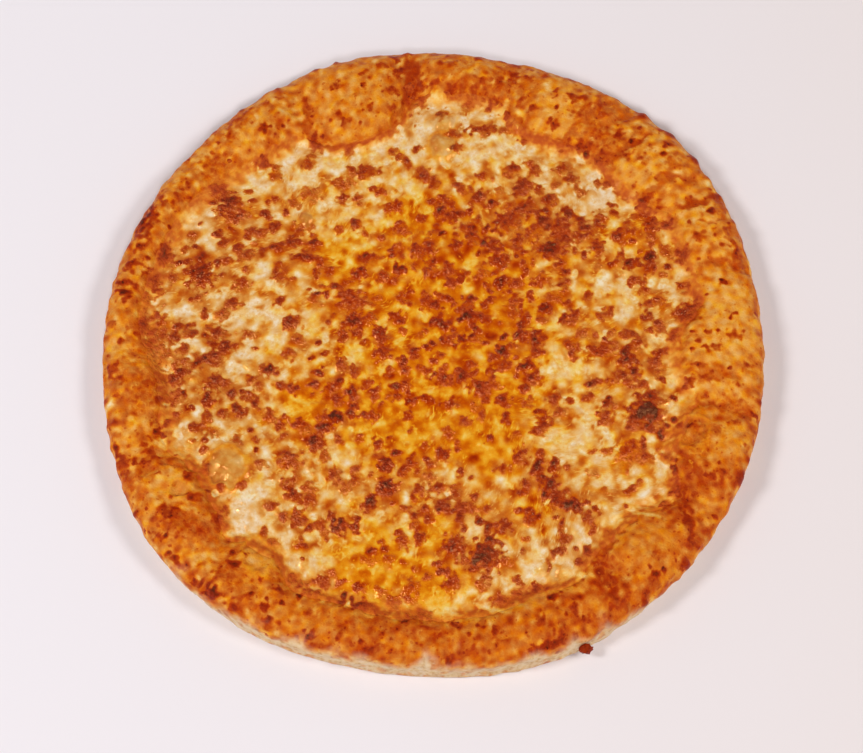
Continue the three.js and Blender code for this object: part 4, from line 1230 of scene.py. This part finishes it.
# %% Rim sections
RIM_ROWS = 74
RIM_COLUMNS = 1140
TUCKED_UNDER = 6.0
CREST_RADIUS = 148.0
fan = np.radians(np.arange(88.0, -81.0, -2.0))
sections = np.zeros((SECTIONS, RIM_ROWS, 2))
for k, angle in enumerate(section_angles):
    start = foot[k] - TUCKED_UNDER
    inner_radii = np.concatenate([[start], radii[radii > start + 0.5]])
    inner = np.stack([inner_radii, np.interp(inner_radii, radii, slope[k])], -1)
    core = (CORE_RADIUS * math.cos(angle), CORE_RADIUS * math.sin(angle), CORE_HEIGHT)
    outer = []
    for lift in fan:
        heading = (math.cos(lift) * math.cos(angle), math.cos(lift) * math.sin(angle), math.sin(lift))
        hit = ray_mm(crust_solid, core, heading)
        outer.append((math.hypot(hit[0], hit[1]), hit[2]))
    line = np.concatenate([inner, np.array(outer)])
    travel = np.append(0.0, np.cumsum(np.hypot(*np.diff(line, axis=0).T)))
    even = np.linspace(0.0, travel[-1], RIM_ROWS)
    sections[k, :, 0] = np.interp(even, travel, line[:, 0])
    sections[k, :, 1] = np.interp(even, travel, line[:, 1])
sections = soften_round(sections, 0.9)
print(SECTIONS, "sections of", RIM_ROWS, "points")

# %% An even grid round the rim
wheel = np.arange(RIM_COLUMNS) * 2.0 * np.pi / RIM_COLUMNS
around = np.append(section_angles, 2.0 * np.pi)
rim = np.zeros((RIM_COLUMNS, RIM_ROWS, 2))
for j in range(RIM_ROWS):
    for c in range(2):
        rim[:, j, c] = np.interp(wheel, around, np.append(sections[:, j, c], sections[0, j, c]))
kernel = np.array([1.0, 2.0, 3.0, 2.0, 1.0]) / 9.0
padded = np.pad(rim, ((0, 0), (2, 2), (0, 0)), mode="edge")
rim = sum(weight * padded[:, k:k + RIM_ROWS] for k, weight in enumerate(kernel))
ROW_STEP = np.hypot(*np.diff(rim, axis=1).mean(axis=0).T).mean()
COLUMN_STEP = 2.0 * math.pi * CREST_RADIUS / RIM_COLUMNS
print("rim grid cells", round(COLUMN_STEP, 2), "by", round(float(ROW_STEP), 2), "mm")

# %% Rim points and their outward direction
rim_points = np.stack([rim[..., 0] * np.cos(wheel)[:, None], rim[..., 0] * np.sin(wheel)[:, None],
                       rim[..., 1]], -1)


def outward(points):
    """The direction that the ring's surface faces at each of its points."""
    round_way = np.roll(points, -1, axis=0) - np.roll(points, 1, axis=0)
    across_way = np.gradient(points, axis=1)
    facing = np.cross(across_way, round_way)
    return facing / np.linalg.norm(facing, axis=-1, keepdims=True)


facing = outward(rim_points)
if facing[:, RIM_ROWS // 3, 2].mean() < 0.0:
    facing = -facing
rim_x, rim_y, rim_z = rim_points[..., 0], rim_points[..., 1], rim_points[..., 2]
RIM_SHAPE = rim_x.shape
RIM_STEPS = (COLUMN_STEP, float(ROW_STEP))


def rim_mottle(seed, size, spread=0.4):
    """The same blotches as mottle, on the rim's own grid."""
    return mottle(seed, size, spread, RIM_SHAPE, RIM_STEPS)


print("rim top at", rim_z.max().round(1), "mm")

# %% The rim's share of the chart
rim_angle = np.broadcast_to(np.degrees(wheel)[:, None], RIM_SHAPE)
rim_radius = rim[..., 0]
rim_values = {key: look_up(field, rim_x, rim_y) for key, field in chart.items()}
rim_fine = rim_mottle(106, 3.2)
on_flank = smooth(0.74, 0.40, facing[..., 2]) * (rim_radius > CORE_RADIUS)
on_side = np.maximum(on_flank, 1.0 - smooth(6.0, 11.0, rim_z))
side_ground = 0.46 + 0.08 * rim_mottle(105, 8) + 0.05 * rim_mottle(107, 16) + 0.03 * rim_fine
rim_values["ground"] += (side_ground - rim_values["ground"]) * on_side
side_spot = 1.3 * rim_mottle(108, 5, .35) - 2.2
rim_values["spot"] += (side_spot - rim_values["spot"]) * smooth(0.35, 0.95, on_side)
rim_values["spot"] = np.clip(rim_values["spot"], -1.0, 1.0)
rim_values["depth"] += (0.72 - rim_values["depth"]) * smooth(0.35, 0.95, on_side)
print("the side's share is", on_side.mean().round(3), "of the rim")

# %% Scorched bumps on the edge
# Each bump: its angle and width in degrees, and its height in mm.
BUMPS = [
    (24, 2.2, .8), (26.7, 1.5, .6), (29.8, 2, .9), (33.5, 1.6, .5), (37.6, 3.2, 1.5), (44, 3.2, 1.7),
    (49.8, 2.6, 1.5), (55.5, 2, .5), (61, 1.2, .7), (65, 1.5, .6), (95, 2, .7), (107.7, 1.4, 1.3),
    (111.4, 2.6, 1.1), (119.3, 1.4, .9), (121.5, 2, .5), (127, 2.4, .9), (133.5, 2.4, .8),
    (135.5, 1.5, .6), (156, 5, .4), (168, 2, .4), (178.5, 2, .6), (190.5, 2.5, .8), (195, 1.6, .7),
    (202.5, 3, .8), (211.5, 1.6, 1.2), (229, 2, .6), (300, 2.4, .8), (307.2, 1.8, 1.5), (312, 2.6, .7),
    (316.8, 1.8, 1.8), (321, 2, .5), (335, 3.8, 1.7), (338.5, 1.6, .8), (341.5, 1.6, .6),
    (343.7, 1.6, .7), (349.3, 2, .9),
]
EDGE_HEIGHT = 12.5
bump_height = np.zeros(RIM_SHAPE)
for angle, width, height in BUMPS:
    off = (rim_angle - angle + 180.0) % 360.0 - 180.0
    bump = np.exp(-(off / (width * 0.36)) ** 2 - ((rim_z - EDGE_HEIGHT) / 3.0) ** 2)
    bump_height += 0.75 * height * bump * (rim_radius > CORE_RADIUS)
scorched = smooth(0.2, 0.7, bump_height)
rim_values["ground"] += (0.86 - rim_values["ground"]) * scorched
print("rim ground median", round(float(np.median(rim_values["ground"][rim_z > 12])), 3))

# %% Floury side and underside
side_noise = 1.3 * rim_mottle(120, 18, .5) + 0.35 * rim_mottle(121, 6, .5)
front = np.cos(np.radians(rim_angle - 268.0))
flour_line = 4.0 + 7.5 * smooth(0.3, 0.97, front) + side_noise
flour = 0.9 * (1.0 - smooth(-3.6, 3.2, rim_z - flour_line)) * (rim_radius > CORE_RADIUS)
flour = flour * (1.0 - 0.5 * smooth(0.9, 1.6, rim_mottle(122, 9, .5)))
flour *= 1.0 - 0.75 * smooth(0.8, 1.3, rim_mottle(123, 5, .4)) * smooth(3.4, 1.8, rim_z)
rim_values["flour"] = flour
print("flour covers", (flour > 0.45).mean().round(3), "of the rim's grid")

# %% Rim relief
rim_relief = look_up(chart_relief, rim_x, rim_y) * (1.0 - on_side) + bump_height
rim_relief += (0.24 * rim_mottle(133, 12, .4) + 0.07 * rim_mottle(134, 5, .4) + 0.03 * rim_fine) * on_side
rim_relief *= smooth(0.2, 1.5, rim_z)
shaped = rim_points + facing * rim_relief[..., None]
shaped[..., 2] = np.maximum(shaped[..., 2], 0.0)
print("the rim's relief is up to", rim_relief.max().round(2), "mm")

# %% [markdown]
# ## The crust's finish
#
# Baked dough is satin, with pores of about a millimetre and a fine leathery grain. The toasting scale is
# the one that the cheese uses, with some oil in it, since fat runs onto the rim. Flour keeps the lower
# side pale, and where a bubble thinned the dough it looks dull and olive.

# %% Crust finish
crust_finish, tree, shader = new_material("baked dough")
ragged_grain = place_group(tree, grain, {"Size mm": 2.4, "Detail": 2.0})
tiny_grain = place_group(tree, grain, {"Size mm": 0.9, "Detail": 1.0})
pores = place_group(tree, bubbling, {"Size mm": 2.3, "Warp mm": 1.0})
pore_spots = cut(tree, pores.outputs["Dome"], 0.66, 0.98)
rare = cut(tree, pores.outputs["Chance"], 0.50, 0.95)
pore_spots = sums(tree, "MULTIPLY", pore_spots, rare)
ground = weighed(tree, surface_value(tree, "ground"), ragged_grain.outputs["Height"], 0.14)
browning_here = browned_here(tree, ground, ragged_grain.outputs["Height"])
toast_here = weighed(tree, browning_here.outputs["Toast"], tiny_grain.outputs["Height"], 0.12)
toast_here = weighed(tree, toast_here, pore_spots, 0.15)
floury = add_node(tree, "ShaderNodeMix", data_type="RGBA")
pale_flour = colour_steps(tree, sums(tree, "ADD", ragged_grain.outputs["Height"], 0.5),
                          [(0.3, (230, 210, 178)), (0.54, (223, 196, 152)), (0.72, (200, 156, 104))])
join(tree, surface_value(tree, "flour"), floury.inputs["Factor"])
join(tree, toasted_colour(tree, toast_here), floury.inputs["A"])
join(tree, pale_flour, floury.inputs["B"])
join(tree, floury.outputs["Result"], shader.inputs["Base Color"])
shader.inputs["Roughness"].default_value = 0.46
shader.inputs["Specular IOR Level"].default_value = 0.18
shader.inputs["Specular Tint"].default_value = tint(255, 198, 132)
bumps = sums(tree, "SUBTRACT", sums(tree, "MULTIPLY", ragged_grain.outputs["Height"], 0.42),
             sums(tree, "MULTIPLY", pore_spots, 0.04))
bumps = weighed(tree, bumps, tiny_grain.outputs["Height"], 0.25)
bumped(tree, shader, bumps, 1.0)
print(crust_finish.name, "has", len(tree.nodes), "nodes")

# %% [markdown]
# ## The crust's mesh
#
# The ring is closed by two discs, the dough floor under the sauce and the flat underside. A burnt crumb
# sits beside the front of the rim. It is a small lump sunk into the side, and so part of the crust.

# %% Ring, dough floor and underside
def ring_quads(ids):
    """Faces of a ring; each row of ids is one section, and the last meets the first."""
    following = np.roll(ids, -1, axis=0)
    return np.stack([ids[:, :-1], following[:, :-1], following[:, 1:], ids[:, 1:]], -1).reshape(-1, 4)


ring_ids = np.arange(RIM_COLUMNS * RIM_ROWS).reshape(RIM_COLUMNS, RIM_ROWS)
points = [shaped.reshape(-1, 3)]
faces = ring_quads(ring_ids).tolist()
extra = {key: [field.reshape(-1)] for key, field in rim_values.items()}
UNMARKED = {"spot": -1.0, "depth": 0.6, "pool": -1.0, "skin": 0.0, "dry": 1.0}
UNDERSIDE = {**UNMARKED, "ground": 0.45, "oil": 0.4, "flour": 0.55}
total = RIM_COLUMNS * RIM_ROWS
for edge, level in ((0, dough_floor), (RIM_ROWS - 1, 0.0)):
    loop = ring_ids[:, edge]
    for share in (0.75, 0.4):
        ring = np.stack([shaped[:, edge, 0] * share, shaped[:, edge, 1] * share,
                         np.full(RIM_COLUMNS, level)], -1)
        points.append(ring)
        new_loop = np.arange(total, total + RIM_COLUMNS)
        total += RIM_COLUMNS
        for k in range(RIM_COLUMNS):
            n = (k + 1) % RIM_COLUMNS
            face = [int(loop[k]), int(loop[n]), int(new_loop[n]), int(new_loop[k])]
            faces.append(face if edge else face[::-1])
        loop = new_loop
    points.append(np.array([[0.0, 0.0, level]]))
    for k in range(RIM_COLUMNS):
        face = [int(loop[k]), int(loop[(k + 1) % RIM_COLUMNS]), total]
        faces.append(face if edge else face[::-1])
    total += 1
    for key, fill in UNDERSIDE.items():
        extra[key].append(np.full(2 * RIM_COLUMNS + 1, fill))
print(total, "points in ring and discs")

# %% The burnt crumb
CRUMB_WAY = 1 if volume_of(np.concatenate(points), faces) > 0.0 else -1
CRUMB_PLACE = (67.8, -143.6, 6.5)
CRUMB_WIDTHS = (6.0, 4.6, 4.4)
CRUMB_ROUND, CRUMB_UP = 18, 9
lump_draw = np.random.default_rng(150)
lump_turn = np.arange(CRUMB_ROUND) * 2.0 * np.pi / CRUMB_ROUND
lump_lift = np.linspace(-np.pi / 2.0, np.pi / 2.0, CRUMB_UP + 2)[1:-1]
lumpy = 1.0 + 0.12 * lump_draw.standard_normal((CRUMB_UP, CRUMB_ROUND))
lump_girth = np.cos(lump_lift)[:, None]
lump = np.stack([lump_girth * np.cos(lump_turn), lump_girth * np.sin(lump_turn),
                 np.sin(lump_lift)[:, None] * np.ones(CRUMB_ROUND)], -1) * lumpy[..., None]
lump = np.concatenate([lump.reshape(-1, 3), [[0.0, 0.0, -1.0]], [[0.0, 0.0, 1.0]]])
points.append(lump * np.array(CRUMB_WIDTHS) / 2.0 + np.array(CRUMB_PLACE))
for k in range(CRUMB_ROUND):
    n = (k + 1) % CRUMB_ROUND
    for row in range(CRUMB_UP - 1):
        a, b = total + row * CRUMB_ROUND, total + (row + 1) * CRUMB_ROUND
        faces.append([a + k, a + n, b + n, b + k][::CRUMB_WAY])
    top_row = total + (CRUMB_UP - 1) * CRUMB_ROUND
    poles = total + CRUMB_UP * CRUMB_ROUND
    faces.append([total + n, total + k, poles][::CRUMB_WAY])
    faces.append([top_row + k, top_row + n, poles + 1][::CRUMB_WAY])
CRUMB = {**UNMARKED, "ground": 0.86, "oil": 0.2, "flour": 0.0}
for key, fill in CRUMB.items():
    extra[key].append(np.full(len(lump), fill))
print("the crumb has", len(lump), "points")

# %% Crust piece
crust_points = np.concatenate(points)
values = {key: np.concatenate(parts) for key, parts in extra.items()}
make_piece("baked_crust", crust_points, faces, values, crust_finish, "crust")

# %% [markdown]
# ## The sauce
#
# The sauce lies between dough and cheese, and shows only where it boiled up into the rim's creases. It is
# a thin disc whose edge follows the rim's inner slope: a little proud of the dough where there is a smear,
# and sunk into it everywhere else, so the smears end in ragged lines without any cutting.

# %% Sauce finish
sauce_finish, tree, shader = new_material("baked sauce")
lumps = place_group(tree, grain, {"Size mm": 1.6, "Detail": 2.0})
depth = sums(tree, "ADD", lumps.outputs["Height"], 0.5)
red = colour_steps(tree, depth, [(0.25, (196, 92, 26)), (0.5, (176, 62, 16)), (0.75, (128, 36, 14))])
join(tree, red, shader.inputs["Base Color"])
shader.inputs["Roughness"].default_value = 0.36
shader.inputs["Specular IOR Level"].default_value = 0.3
shader.inputs["Specular Tint"].default_value = tint(255, 180, 110)
bumped(tree, shader, lumps.outputs["Height"], 0.6)
print(sauce_finish.name, "has", len(tree.nodes), "nodes")

# %% Sauce smears
# Each smear: its angle, radius, width round the rim and width across it.
SMEARS = [
    (94.5, 134, 6, 12), (75, 141, 7, 4), (56, 141, 4, 8), (142, 118, 8, 7), (191, 127, 9, 5),
    (245, 130, 20, 2.6), (136, 136, 6, 4), (327, 128, 6, 5), (17, 146, 7, 2.4), (303.5, 131, 4, 8),
    (197, 131, 6, 4), (275, 134, 6, 3),
]
SMEAR_ROWS = int(RIM_ROWS * 0.52)
SAUCE_THICKNESS = 1.6
smear_level = np.full(MAP_SHAPE, -1.0)
for angle, radius, around, across in SMEARS:
    x, y = at_angle(angle, radius)
    lay(smear_level, spare_depth, x, y, across, around, angle, 0.0, 0.3)
smear = smooth(-0.4, 0.5, look_up(smear_level, rim_x, rim_y))
patchy = smooth(-0.6, 0.7, rim_mottle(140, 3.5, .4))
lift = -0.7 + 0.95 * smear * (0.55 + 0.45 * patchy)
keep = slice(0, SMEAR_ROWS)
upper = shaped[:, keep] + facing[:, keep] * lift[:, keep][..., None]
lower = shaped[:, keep] - facing[:, keep] * SAUCE_THICKNESS
print("sauce shows on", (lift[:, keep] > 0.0).mean().round(3), "of the inner slope")

# %% Sauce mesh
SAUCE_LEVEL = dough_floor + 0.9
step = 2
upper, lower = upper[::step], lower[::step]
columns = upper.shape[0]
ids = np.arange(columns * SMEAR_ROWS).reshape(columns, SMEAR_ROWS)
shift = columns * SMEAR_ROWS
up = ring_quads(ids)
faces = up[:, ::-1].tolist() + (up + shift).tolist()
for k in range(columns):
    n = (k + 1) % columns
    faces.append([int(ids[k, -1]), int(ids[n, -1]), int(ids[n, -1]) + shift, int(ids[k, -1]) + shift])
top_centre, low_centre = 2 * shift, 2 * shift + 1
for k in range(columns):
    n = (k + 1) % columns
    faces.append([int(ids[k, 0]), int(ids[n, 0]), top_centre])
    faces.append([int(ids[n, 0]) + shift, int(ids[k, 0]) + shift, low_centre])
sauce_points = np.concatenate([upper.reshape(-1, 3), lower.reshape(-1, 3),
                               [[0.0, 0.0, SAUCE_LEVEL]], [[0.0, 0.0, SAUCE_LEVEL - 0.8]]])
make_piece("tomato_sauce", sauce_points, faces, {}, sauce_finish, "sauce")
